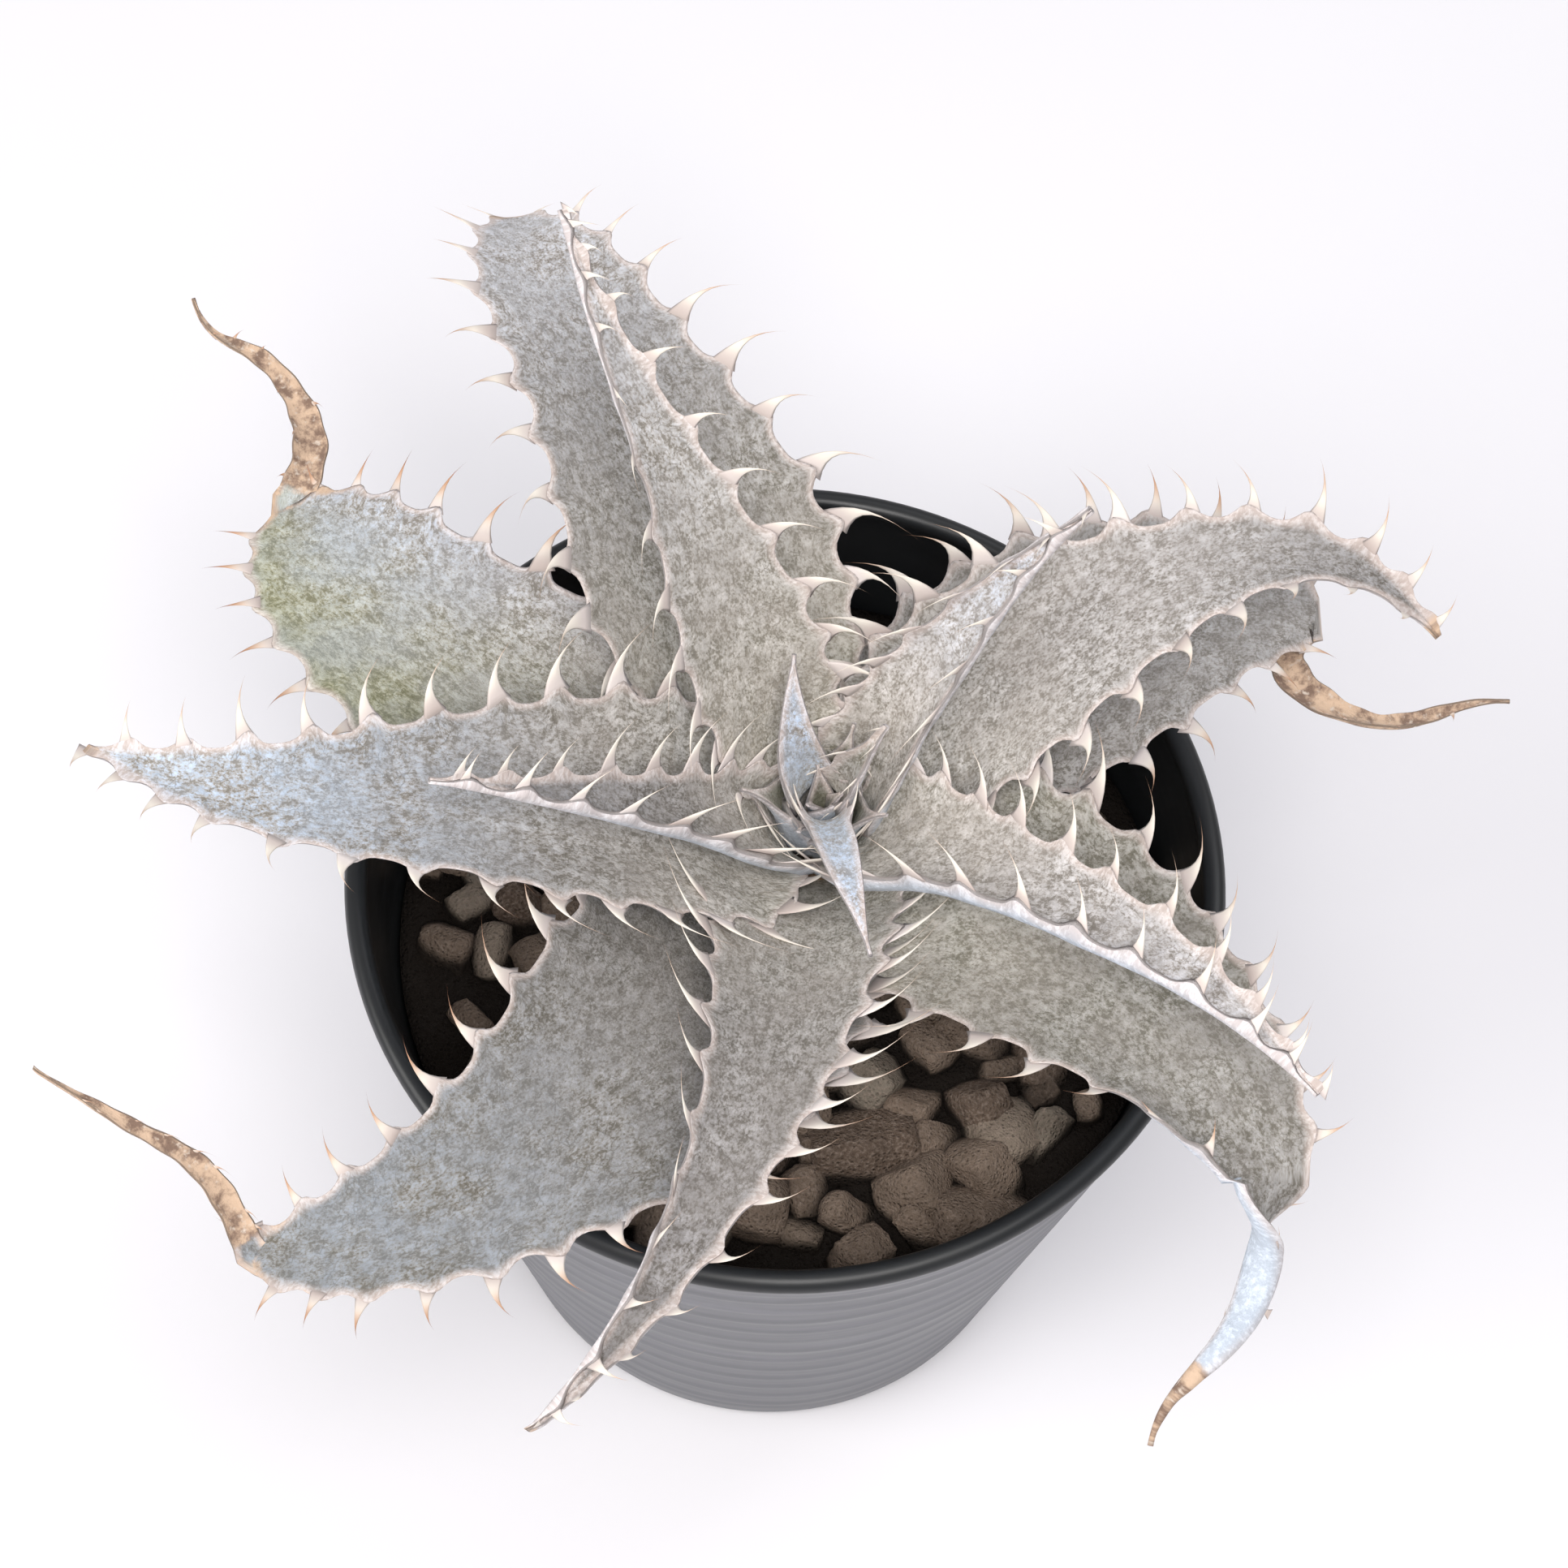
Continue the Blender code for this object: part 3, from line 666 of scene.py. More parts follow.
def dead_sheath(grain):
    """The brown, fibrous bases of old leaves round the stem."""
    material, tree, shader = new_material("dead_sheath")
    place = own_place(tree)
    stone = use_group(tree, grain, Place=place, Pits_per_metre=900.0, Damp_size=260.0)
    fibres = noise(stretched(place, (2400.0, 2400.0, 260.0)), 1.0, 3.0, 0.6)
    colour = blend_colour(stone["Damp"], blend_colour(fibres, *SHEATH), DAMP_SHEATH)
    plug(shader.inputs["Base Color"], colour)
    shader.inputs["Roughness"].default_value = 0.85
    add_bump(shader, fibres, 0.6, 0.3 * MM)
    return material


def table_white():
    material, tree, shader = new_material("table_white")
    cloud = noise(own_place(tree), 3.0, 1.0, 0.5)
    plug(shader.inputs["Base Color"], blend_colour(cloud, *TABLE))
    shader.inputs["Roughness"].default_value = 0.6
    return material


# Meshes.

def mesh_object(name, verts, faces, floats=None, vectors=None):
    """An object with a plain mesh that carries the given values at its points."""
    mesh = bpy.data.meshes.new(name)
    mesh.from_pydata([tuple(v) for v in verts], [], faces)
    for label, values in (floats or {}).items():
        layer = mesh.attributes.new(label, "FLOAT", "POINT")
        layer.data.foreach_set("value", np.asarray(values, np.float32))
    for label, values in (vectors or {}).items():
        layer = mesh.attributes.new(label, "FLOAT_VECTOR", "POINT")
        layer.data.foreach_set("vector", np.asarray(values, np.float32).ravel())
    mesh.update()
    obj = bpy.data.objects.new(name, mesh)
    bpy.context.scene.collection.objects.link(obj)
    return obj


def face_outwards(obj):
    bm = bmesh.new()
    bm.from_mesh(obj.data)
    bmesh.ops.recalc_face_normals(bm, faces=bm.faces[:])
    bm.to_mesh(obj.data)
    bm.free()


def read_places(obj):
    places = np.empty(len(obj.data.vertices) * 3, np.float32)
    obj.data.vertices.foreach_get("co", places)
    return places.reshape(-1, 3)


def write_places(obj, places):
    obj.data.vertices.foreach_set("co", places.ravel())
    obj.data.update()


def make_plain(obj, modifier):
    """Keep what a modifier makes of an object as its plain mesh."""
    depsgraph = bpy.context.evaluated_depsgraph_get()
    depsgraph.update()
    plain = bpy.data.meshes.new_from_object(obj.evaluated_get(depsgraph), depsgraph=depsgraph,
                                            preserve_all_data_layers=True)
    obj.modifiers.remove(modifier)
    obj.data = plain


def run_nodes(obj, group, values):
    """Run a geometry tree on an object, with values for its named inputs."""
    modifier = obj.modifiers.new("shape", "NODES")
    modifier.node_group = group
    for item in group.interface.items_tree:
        if item.item_type == "SOCKET" and item.in_out == "INPUT" and item.name in values:
            modifier[item.identifier] = values[item.name]
    make_plain(obj, modifier)


def keep_inside(obj):
    """Bend whatever nears the frame's box softly back, so that none of it passes the box."""
    places = read_places(obj)
    for axis in range(3):
        middle = (cad_box[0][axis] + cad_box[1][axis]) / 2.0
        free = (cad_box[1][axis] - cad_box[0][axis]) / 2.0 - BOX_GAP - SOFT_EDGE
        away = places[:, axis] - middle
        over = np.maximum(np.abs(away) - free, 0.0)
        held = np.minimum(np.abs(away), free) + SOFT_EDGE * (1.0 - np.exp(-over / SOFT_EDGE))
        places[:, axis] = middle + np.sign(away) * held
    write_places(obj, places)


def finish_piece(obj, slot_name, *nodes):
    obj.data.shade_smooth()
    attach(obj, "root")
    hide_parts(*nodes)


# Geometry trees.

def named(tree, name, kind="FLOAT"):
    """A value that the points carry."""
    return take(tree, "GeometryNodeInputNamedAttribute", {"data_type": kind}, Name=name)


def stored(geometry, name, value, kind="FLOAT"):
    """A geometry whose points carry one more value."""
    return take(geometry.tree, "GeometryNodeStoreNamedAttribute", {"data_type": kind, "domain": "POINT"},
                Geometry=geometry, Name=name, Value=value)


def chance(seed, low, high, vector=False):
    """A random number, or vector, for each point."""
    kind, first = ("FLOAT_VECTOR", 0) if vector else ("FLOAT", 2)
    made = add_node(seed.tree, "FunctionNodeRandomValue", {"data_type": kind}, Seed=seed)
    plug(made.inputs[first], low)
    plug(made.inputs[first + 1], high)
    return Value(seed.tree, made.outputs[0 if vector else 1])


def end_with(sink, material, *geometries):
    """Join the geometries, give them their material and hand them out."""
    tree = material.tree
    joined = add_node(tree, "GeometryNodeJoinGeometry")
    for geometry in geometries:
        plug(joined.inputs[0], geometry)
    made = take(tree, "GeometryNodeSetMaterial", Geometry=Value(tree, joined.outputs[0]), Material=material)
    plug(sink.inputs[0], made)


def make_tooth_tree():
    """Hooked teeth at the given sites, joined to the blade that comes in.

    Each site carries the ways out of the margin, back along it and up from the
    blade, with the tooth's reach, hook and half width at its root.
    """
    tree, given, sink = new_group(
        "toothed margin", "GeometryNodeTree",
        {"Blade": "Geometry", "Sites": "Object", "Sides": 8, "Rings": 8, "Thinness": 0.34,
         "Sink": 0.35 * MM, "Material": "Material"},
        ("Leaf",),
    )
    cone = take(tree, "GeometryNodeMeshCone", {"fill_type": "NGON"}, "Mesh", Vertices=given["Sides"],
                Side_Segments=given["Rings"], Radius_Top=0.0, Radius_Bottom=1.0, Depth=1.0)
    position = take(tree, "GeometryNodeInputPosition")
    tooth = stored(stored(cone, "tooth_local", position, "FLOAT_VECTOR"), "on_tooth", 1.0)
    sites = take(tree, "GeometryNodeObjectInfo", None, "Geometry", Object=given["Sites"])
    copies = take(tree, "GeometryNodeInstanceOnPoints", Points=sites, Instance=tooth)
    teeth = take(tree, "GeometryNodeRealizeInstances", Geometry=copies)

    local = named(tree, "tooth_local", "FLOAT_VECTOR")
    across, deep, share = parts(local)
    reach, hook, root = (named(tree, name) for name in ("reach", "hook", "root"))
    left = 1.0 - share
    slim = left * calc("MULTIPLY_ADD", left, 0.42, 0.58)
    side = across * root * slim
    full = stepped(share, 0.0, 0.45, 0.15, 1.0)
    depth = deep * root * slim * full * given["Thinness"]
    curl = hook * share ** HOOK_POWER
    out = reach * (share - curl * HOOK_SHORTENS) - given["Sink"]
    back = side + reach * curl * HOOK_BACK
    up = depth + reach * TOOTH_LIFT * (share * share)
    place = vector_calc("SUBTRACT", position, local)
    for way, amount in (("way_out", out), ("way_back", back), ("way_up", up)):
        place = summed(place, scaled(named(tree, way, "FLOAT_VECTOR"), amount))
    bent = take(tree, "GeometryNodeSetPosition", Geometry=teeth, Position=place)
    end_with(sink, given["Material"], bent, given["Blade"])
    return tree


def make_rib_tree():
    """Level ribs pressed into a turned wall, wandering a little round the pot."""
    tree, given, sink = new_group(
        "ribbed wall", "GeometryNodeTree",
        {"Shell": "Geometry", "Rib pitch": 9.4 * MM, "Rib depth": 0.16 * MM, "Lowest": 5.0 * MM,
         "Highest": 80.0 * MM, "Wander": 0.5 * MM, "Material": "Material"},
        ("Pot",),
    )
    position = take(tree, "GeometryNodeInputPosition")
    x, y, height = parts(position)
    outwards = vector_calc("NORMALIZE", take(tree, "ShaderNodeCombineXYZ", X=x, Y=y, Z=0.0))
    drift = (noise(position, 25.0, 1.0) - 0.5) * (given["Wander"] * 2.0)
    wave = calc("SINE", (height + drift) / given["Rib pitch"] * (2.0 * math.pi))
    narrow = calc("MULTIPLY_ADD", wave, 0.5, 0.5) ** 3.0
    above = stepped(height, given["Lowest"], given["Lowest"] + RIB_FADE)
    below = stepped(height, given["Highest"], given["Highest"] - RIB_FADE)
    push = (narrow - 1.0) * given["Rib depth"] * (above * below * named(tree, "outer"))
    ribbed = take(tree, "GeometryNodeSetPosition", Geometry=given["Shell"], Offset=scaled(outwards, push))
    end_with(sink, given["Material"], ribbed)
    return tree


def make_gravel_tree():
    """Stones scattered over the bed: uneven pebbles, each turned its own way."""
    tree, given, sink = new_group(
        "gravel grains", "GeometryNodeTree",
        {"Bed": "Geometry", "Spacing": 3.9 * MM, "Density": 90000.0, "Smallest": 1.7 * MM,
         "Largest": 4.0 * MM, "Lumps": 1.5 * MM, "Seed": 3, "Material": "Material"},
        ("Gravel",),
    )
    seed = given["Seed"]
    points = take(tree, "GeometryNodeDistributePointsOnFaces", {"distribute_method": "POISSON"}, "Points",
                  Mesh=given["Bed"], Selection=calc("GREATER_THAN", named(tree, "open"), 0.5),
                  Distance_Min=given["Spacing"], Density_Max=given["Density"], Seed=seed)
    # Stones carry deep 0; only the bed under them is painted near-black as shade.
    points = stored(stored(points, "grain_tone", chance(seed, 0.0, 1.0)), "deep", 0.0)
    block = take(tree, "GeometryNodeMeshCube", None, "Mesh", Size=(GRAIN_BLOCK,) * 3,
                 Vertices_X=GRAIN_POINTS, Vertices_Y=GRAIN_POINTS, Vertices_Z=GRAIN_POINTS)
    position = take(tree, "GeometryNodeInputPosition")
    worn = summed(scaled(position, 0.5), scaled(vector_calc("NORMALIZE", position), 0.5))
    pebble = take(tree, "GeometryNodeSetPosition", Geometry=block, Position=worn)
    turn = chance(seed + 1.0, (0.0,) * 3, (2.0 * math.pi,) * 3, vector=True)
    size = chance(seed + 2.0, given["Smallest"], given["Largest"])
    shape = chance(seed + 3.0, GRAIN_SLIMMEST, GRAIN_FULLEST, vector=True)
    copies = take(tree, "GeometryNodeInstanceOnPoints", Points=points, Instance=pebble, Rotation=turn,
                  Scale=scaled(shape, size))
    stones = take(tree, "GeometryNodeRealizeInstances", Geometry=copies)
    lumps = (noise(position, 230.0, 4.0, 0.6) - 0.55) * given["Lumps"]
    lumpy = take(tree, "GeometryNodeSetPosition", Geometry=stones,
                 Offset=scaled(take(tree, "GeometryNodeInputNormal"), lumps))
    end_with(sink, given["Material"], lumpy, given["Bed"])
    return tree


# Leaves.

def through(values, share):
    """A smooth curve through evenly spaced values, read at share from 0 to 1."""
    last = len(values) - 1
    place = min(max(share, 0.0), 1.0) * last
    i = min(int(place), last - 1)
    t = place - i
    a = values[max(i - 1, 0)]
    b = values[i]
    c = values[i + 1]
    d = values[min(i + 2, last)]
    return b + 0.5 * t * (c - a + t * (2 * a - 5 * b + 4 * c - d + t * (3 * (b - c) + d - a)))


def heading(bearing, rise, roll):
    """Along, across (to the left) and upper-face directions of a leaf."""
    h, e, r = (math.radians(angle) for angle in (bearing, rise, roll))
    along = np.array([math.cos(e) * math.cos(h), math.cos(e) * math.sin(h), math.sin(e)])
    level = np.array([-math.sin(h), math.cos(h), 0.0])
    upright = np.cross(along, level)
    across = level * math.cos(r) + upright * math.sin(r)
    return along, across, np.cross(along, across)


def eased(value):
    value = min(max(value, 0.0), 1.0)
    return value * value * (3.0 - 2.0 * value)


def blade_stations(leaf):
    """Midline points in mm with directions, width, thickness, fold and dryness."""
    length = leaf["length"]
    count = round(length / BLADE_STEP)
    bearing = math.radians(leaf["bearing"][0])
    out = leaf.get("on_top", STEM_RADIUS / MM + 0.3)
    point = np.array([STEM_X / MM + out * math.cos(bearing), out * math.sin(bearing), leaf["base"]])
    clasp = min(CLASP_WIDTH, 1.2 * leaf["widths"][0])
    end = leaf.get("withered")
    before = None
    stations = []
    for i in range(count + 1):
        share = i / count
        axes = heading(*(through(leaf[turn], share) for turn in ("bearing", "rise", "roll")))
        if before is not None:
            point = point + (axes[0] + before) * 0.5 * length / count
        before = axes[0]
        spread = eased(share * length / CLASP_LENGTH)
        width = through(leaf["widths"], share) * (1.0 - share ** leaf["blunt"])
        width = width * spread + clasp * (1.0 - spread)
        fold = through(leaf["fold"], share) * spread + CLASP_FOLD * (1.0 - spread)
        thick = leaf["thick"] * (1.15 - 0.85 * share)
        if end and end["dry_from"] == 0.0:
            dry = eased((share - 0.92) / 0.08)
        else:
            dry = TIP_DRYNESS * leaf["age"] * eased((share - 0.95) / 0.05)
        stations.append([point, axes, max(width, NARROWEST), thick, fold, dry])
    return with_withered_end(stations, end) if end else stations


def with_withered_end(stations, end):
    """Carry a leaf on into its dried end, which turns, curls and pinches."""
    length = end["length"]
    count = round(length / END_STEP)
    stations = [s for s in stations if s[2] > end["width"]]
    point, axes, start_width, start_thick, start_fold, _ = stations[-1]
    turn_from, turn_to = end.get("turn", (0.0, 0.0))
    before = axes[0]
    for i in range(1, count + 1):
        share = i / count
        dried = eased((share - end["dry_from"]) / 0.12)
        twist = turn_from + (turn_to - turn_from) * eased(share / 0.42)
        twist += 40.0 * math.sin(share * 9.0) * share * dried
        axes = heading(through(end["bearing"], share), through(end["rise"], share), twist)
        point = point + (axes[0] + before) * 0.5 * length / count
        before = axes[0]
        pinch = 1.0 - 0.12 * dried * (1.0 + math.sin(share * 31.0) * math.sin(share * 17.0 + 1.0))
        taper = (1.0 - share) ** 0.85
        if start_width > WIDE_END:
            taper *= 1.0 - 0.4 * eased(share * 3.0)
        width = max(0.25, start_width * taper * pinch)
        thick = max(0.3, min(start_thick, 0.9) * (1.0 - 0.7 * share))
        fold = start_fold + (1.0 - start_fold) * dried
        stations.append([point, axes, width, thick, fold, dried])
    return stations


def cross_section(half, fold, curl):
    """Sideways, up and slope along half a blade that is folded, its margin curled in."""
    slope = fold * SECTION_STEPS + curl * np.clip((SECTION_STEPS - 0.5) / 0.5, 0.0, 1.0) ** 1.5
    middle = (slope[1:] + slope[:-1]) / 2.0
    sideways = np.concatenate([[0.0], np.cumsum(np.cos(middle))])
    lift = np.concatenate([[0.0], np.cumsum(np.sin(middle))])
    scale = half / sideways.max()
    return sideways * scale, lift * scale, slope


def section_ring():
    """Places round a blade's section: share of its half width, and 1 above or -1 below."""
    top = [math.sin(math.pi / 2.0 * (1.0 - 2.0 * k / (TOP_POINTS - 1))) for k in range(TOP_POINTS)]
    under = [-math.sin(math.pi / 2.0 * (1.0 - 2.0 * (k + 1) / (UNDER_POINTS + 1)))
             for k in range(UNDER_POINTS)]
    return [(u, 1.0) for u in top] + [(u, -1.0) for u in under]


def surface_height(u, face, width, thick):
    """How far the upper face lies above the blade's middle sheet, or the lower one below."""
    bulk = (1.0 - abs(u) ** 2.4) ** 0.75 * thick
    groove = 0.05 * min(1.0, width / 8.0) * math.cos(u * 7.5 * math.pi) * (1.0 - abs(u) ** 3)
    return 0.08 + 0.30 * bulk + groove if face > 0.0 else -0.08 - 0.70 * bulk


def colouring(leaf, share, phase):
    """How green, how blue and how light a blade is at a share of its length. The lightness
    is the leaf's own tone with painted light and shade; towards the base painted light
    brightens it against the shade near the heart.
    """
    wander = 1.0 if "green_side" in leaf else 0.55 + 0.45 * math.cos(share * 4.0 + phase)
    green = leaf["green"] * wander + 0.3 * (1.0 - share) ** 3
    blue = leaf["blue"] * eased((share - leaf.get("blue_from", 0.25)) / 0.6)
    plain = leaf["tone_and_painted_light"]
    # Painted light and shade towards the base, then the lightness given for the tip.
    tone_and_painted_light = plain + (leaf.get("base_painted_light", BASE_PAINTED_LIGHT) - plain) * (1.0 - eased(share / 0.45)) * 0.85
    tone_and_painted_light += (leaf.get("tip_tone_and_painted_light", plain) - plain) * eased((share - 0.55) / 0.4)
    return green, blue, tone_and_painted_light


def margin_teeth(stations, blade_count, leaf, rng):
    """Places along both margins where a tooth stands: side, station, reach and hook."""
    teeth = []
    size = min(1.0, 0.45 + leaf["length"] / 90.0) * (0.86 if max(leaf["widths"]) < NARROW_LEAF else 1.0)
    spacing = 0.6 + 0.48 * min(1.0, leaf["length"] / 60.0)
    last = leaf.get("toothless_from", 1.0) * blade_count
    for side in SIDES:
        run = FIRST_TOOTH
        walked = 0.0
        before = None
        for i in range(blade_count):
            mid, (_, across, _), width = stations[i][:3]
            edge = mid + across * side * width / 2.0
            if before is not None:
                walked += np.linalg.norm(edge - before)
            before = edge
            if walked >= run and i < last:
                share = i / blade_count
                reach = through(TOOTH_REACHES, share) * rng.uniform(0.85, 1.12) * size
                hook = through(TOOTH_HOOKS, share) * rng.uniform(0.8, 1.2)
                teeth.append((side, i, reach, hook))
                run = walked + through(TOOTH_GAPS, share) * rng.uniform(0.88, 1.12) * spacing
    return teeth


def end_teeth(stations, blade_count, rng):
    """Small teeth scattered on a dried end."""
    teeth = []
    i = blade_count + 6
    while i < len(stations) - 10:
        side = rng.choice(SIDES)
        teeth.append((side, i, rng.uniform(1.2, 2.6), rng.uniform(0.3, 0.9)))
        i += rng.randint(4, 8)
    return teeth


def flare_at(teeth, i):
    """How far each margin swells at a station towards the teeth near it."""
    flare = {side: 0.0 for side in SIDES}
    for side, at, reach, _ in teeth:
        if abs(at - i) < FLARE_STATIONS:
            away = (i - at + 1.0) * BLADE_STEP / FLARE_SPREAD
            flare[side] += MARGIN_FLARE * reach * math.exp(-away * away)
    return flare


def build_leaf(name, leaf, tree, material, number):
    """A leaf's blade and dried end as one closed surface, joined with its teeth."""
    rng = random.Random(TOOTH_SEED + number)
    stations = blade_stations(leaf)
    end = leaf.get("withered")
    blade_count = len(stations) - (round(end["length"] / END_STEP) if end else 0)
    teeth = margin_teeth(stations, blade_count, leaf, rng)
    phase = [rng.uniform(0.0, 2.0 * math.pi) for _ in range(6)]
    ring = section_ring()
    curls = leaf.get("curl", {})
    verts = []
    looks = {label: [] for label in ("rim", "under", "dry", "tone_and_painted_light")}
    spots = {label: [] for label in ("leaf_place", "tints")}
    edges = {side: [] for side in SIDES}
    slopes = {side: [] for side in SIDES}
    tones_and_painted_light = []
    length = 0.0
    before = stations[0][0]
    for i, (mid, (_, across, up), width, thick, fold, dry) in enumerate(stations):
        length += np.linalg.norm(mid - before)
        before = mid
        flare = flare_at(teeth, i)
        ripple = 0.22 * math.sin(length / 5.5 + phase[0]) + 0.12 * math.sin(length / 2.1 + phase[1])
        half = width / 2.0
        share = min(1.0, length / leaf["length"])
        green, blue, tone_and_painted_light = colouring(leaf, share, phase[2])
        tones_and_painted_light.append(tone_and_painted_light)
        old = eased((share - 0.78) / 0.2) * eased((leaf["age"] - 0.6) / 0.3)
        sections = {}
        for side in SIDES:
            curl = through(curls[side], share) if side in curls else 0.0
            sections[side] = cross_section(half, fold, curl)
            sideways, lift, slope = (line[-1] for line in sections[side])
            outward = across * side * math.cos(slope) + up * math.sin(slope)
            edges[side].append(mid + across * side * sideways + up * lift + outward * flare[side])
            slopes[side].append(slope)
        for u, face in ring:
            side = 1.0 if u >= 0.0 else -1.0
            sideways, lift, slope = (np.interp(abs(u), SECTION_STEPS, line) for line in sections[side])
            outward = across * side * math.cos(slope) + up * math.sin(slope)
            normal = up * math.cos(slope) - across * side * math.sin(slope)
            wave = side * ripple * abs(u) ** 2 * min(1.0, width / 10.0)
            point = mid + across * side * sideways + up * lift + outward * flare[side] * abs(u) ** 6
            verts.append((point + normal * (wave + surface_height(u, face, width, thick))) * MM)
            rim = max(0.0, 1.0 - (1.0 - abs(u)) * half / 1.7)
            looks["rim"].append(rim)
            looks["under"].append(1.0 if face < 0.0 else 0.0)
            looks["dry"].append(max(dry, 0.8 * rim * old))
            # Each point carries that lightness: the leaf's tone with painted light and shade.
            looks["tone_and_painted_light"].append(tone_and_painted_light)
            on_side = 1.0 + u * leaf.get("green_side", 0.0)
            spots["leaf_place"].append((u * half + (UNDER_OFFSET if face < 0.0 else 0.0), length,
                                        number * LEAF_OFFSET))
            spots["tints"].append((min(1.0, green * on_side), blue, leaf["age"] * eased(share + 0.15)))

    blade = mesh_object(name + "_grown", verts, tube_faces(len(ring), len(stations)), looks, spots)
    face_outwards(blade)
    if end:
        teeth = teeth + end_teeth(stations, blade_count, rng)
    sites = tooth_sites(name, leaf, stations, edges, slopes, tones_and_painted_light, teeth)
    run_nodes(blade, tree, {**TOOTH_FORM, "Sites": sites, "Material": material})
    bpy.data.objects.remove(sites, do_unlink=True)
    return blade


def tube_faces(count, rows):
    """Faces of a closed tube of rings, each with count points."""
    faces = []
    for i in range(rows - 1):
        for k in range(count):
            nxt = (k + 1) % count
            faces.append((i * count + k, i * count + nxt, (i + 1) * count + nxt, (i + 1) * count + k))
    faces.append(tuple(range(count)))
    faces.append(tuple((rows - 1) * count + k for k in reversed(range(count))))
    return faces


def tooth_sites(name, leaf, stations, edges, slopes, tones_and_painted_light, teeth):
    """A mesh of points, one for each tooth, that carries the tooth's shape and look."""
    spots = []
    looks = {label: [] for label in ("reach", "hook", "root", "rim", "tone_and_painted_light")}
    ways = {label: [] for label in ("way_out", "way_back", "way_up", "leaf_place", "tints")}
    last = len(stations) - 1
    for side, i, reach, hook in teeth:
        run = edges[side]
        tangent = run[min(i + 2, last)] - run[max(i - 2, 0)]
        tangent = tangent / max(np.linalg.norm(tangent), 1e-6)
        up = stations[i][1][2]
        out = np.cross(up, tangent) * side
        out = out / max(np.linalg.norm(out), 1e-6)
        lean = slopes[side][i]
        share = min(1.0, i * BLADE_STEP / leaf["length"])
        slender = eased((share - 0.35) / 0.4)
        root = (0.5 + 0.17 * reach) * (1.0 - slender) + (0.4 + 0.12 * reach) * slender
        spots.append(run[i] * MM)
        looks["reach"].append((reach + TOOTH_ROOTED) * MM)
        looks["hook"].append(hook)
        looks["root"].append(root * MM)
        looks["rim"].append(1.0)
        # Each tooth takes the blade's lightness where it stands, painted light and shade included.
        looks["tone_and_painted_light"].append(tones_and_painted_light[i])
        ways["way_out"].append(out * math.cos(lean) + up * math.sin(lean))
        ways["way_back"].append(-tangent)
        ways["way_up"].append(up * math.cos(lean) - out * math.sin(lean))
        ways["leaf_place"].append((side * 20.0, i * BLADE_STEP, 0.0))
        ways["tints"].append((0.0, 0.0, leaf["age"] * eased(share + 0.15)))
    return mesh_object(name + "_sites", spots, [], looks, ways)


def join_meshes(first, others):
    """Make the other objects' meshes part of the first one's."""
    with bpy.context.temp_override(active_object=first, selected_editable_objects=[first, *others]):
        bpy.ops.object.join()


# Pot, gravel, stem.

def wall_radius(height):
    return BASE_RADIUS + (RIM_RADIUS - BASE_RADIUS) * height / POT_HEIGHT


def turned(name, profile, sides, centre_x=0.0):
    """A closed turned body; each row of its profile is a radius, a height and an outer mark."""
    verts, faces, marks, rows = [], [], [], []
    for radius, height, mark in profile:
        spokes = 1 if radius < 1e-7 else sides
        rows.append((len(verts), spokes))
        for k in range(spokes):
            turn = 2.0 * math.pi * k / sides
            verts.append((centre_x + radius * math.cos(turn), radius * math.sin(turn), height))
            marks.append(mark)
    for (low, low_count), (high, high_count) in zip(rows, rows[1:]):
        for k in range(sides):
            nxt = (k + 1) % sides
            if low_count == 1:
                faces.append((low, high + nxt, high + k))
            elif high_count == 1:
                faces.append((low + k, low + nxt, high))
            else:
                faces.append((low + k, low + nxt, high + nxt, high + k))
    obj = mesh_object(name, verts, faces, {"outer": marks})
    face_outwards(obj)
    return obj


def pot_profile():
    """The pot's outline from its hub, up outside, over the rim and down to its floor."""
    profile = [(radius, height, FOOT_GREY) for radius, height in FOOT_OUTLINE]
    low, high = WALL_SPAN
    for i in range(WALL_ROWS + 1):
        height = low + (high - low) * i / WALL_ROWS
        profile.append((wall_radius(height) - WALL_GIVE, height, 1.0))
    bead = BEAD / 2.0
    for i in range(BEAD_ROWS + 1):
        turn = math.radians(BEAD_FROM + BEAD_SWEEP * i / BEAD_ROWS)
        profile.append((RIM_RADIUS - bead + bead * math.cos(turn),
                        POT_HEIGHT - bead + bead * math.sin(turn), BEAD_GREY if i < 4 else 0.0))
    # The inner wall and floor carry mark 0: painted near-black as shade.
    top = POT_HEIGHT - BEAD - FILLET
    for i in range(INNER_ROWS + 1):
        height = top + (FLOOR_TOP + FILLET - top) * i / INNER_ROWS
        profile.append((wall_radius(height) - WALL, height, 0.0))
    profile.append((wall_radius(FLOOR_TOP) - WALL - FILLET, FLOOR_TOP, 0.0))
    profile.append((0.0, FLOOR_TOP, 0.0))
    return profile


def cut_drain_holes(pot):
    for k in range(DRAIN_HOLES):
        turn = 2.0 * math.pi * (k + 0.5) / DRAIN_HOLES
        place = Vector((DRAIN_CIRCLE * math.cos(turn), DRAIN_CIRCLE * math.sin(turn), 0.0))
        bm = bmesh.new()
        bmesh.ops.create_cone(bm, cap_ends=True, segments=24, radius1=DRAIN_RADIUS,
                              radius2=DRAIN_RADIUS, depth=4.0 * FLOOR_TOP)
        bmesh.ops.translate(bm, verts=bm.verts[:], vec=place)
        mesh = bpy.data.meshes.new("drain")
        bm.to_mesh(mesh)
        bm.free()
        cutter = bpy.data.objects.new("drain", mesh)
        bpy.context.scene.collection.objects.link(cutter)
        cut = pot.modifiers.new("drain", "BOOLEAN")
        cut.object = cutter
        make_plain(pot, cut)
        bpy.data.objects.remove(cutter, do_unlink=True)


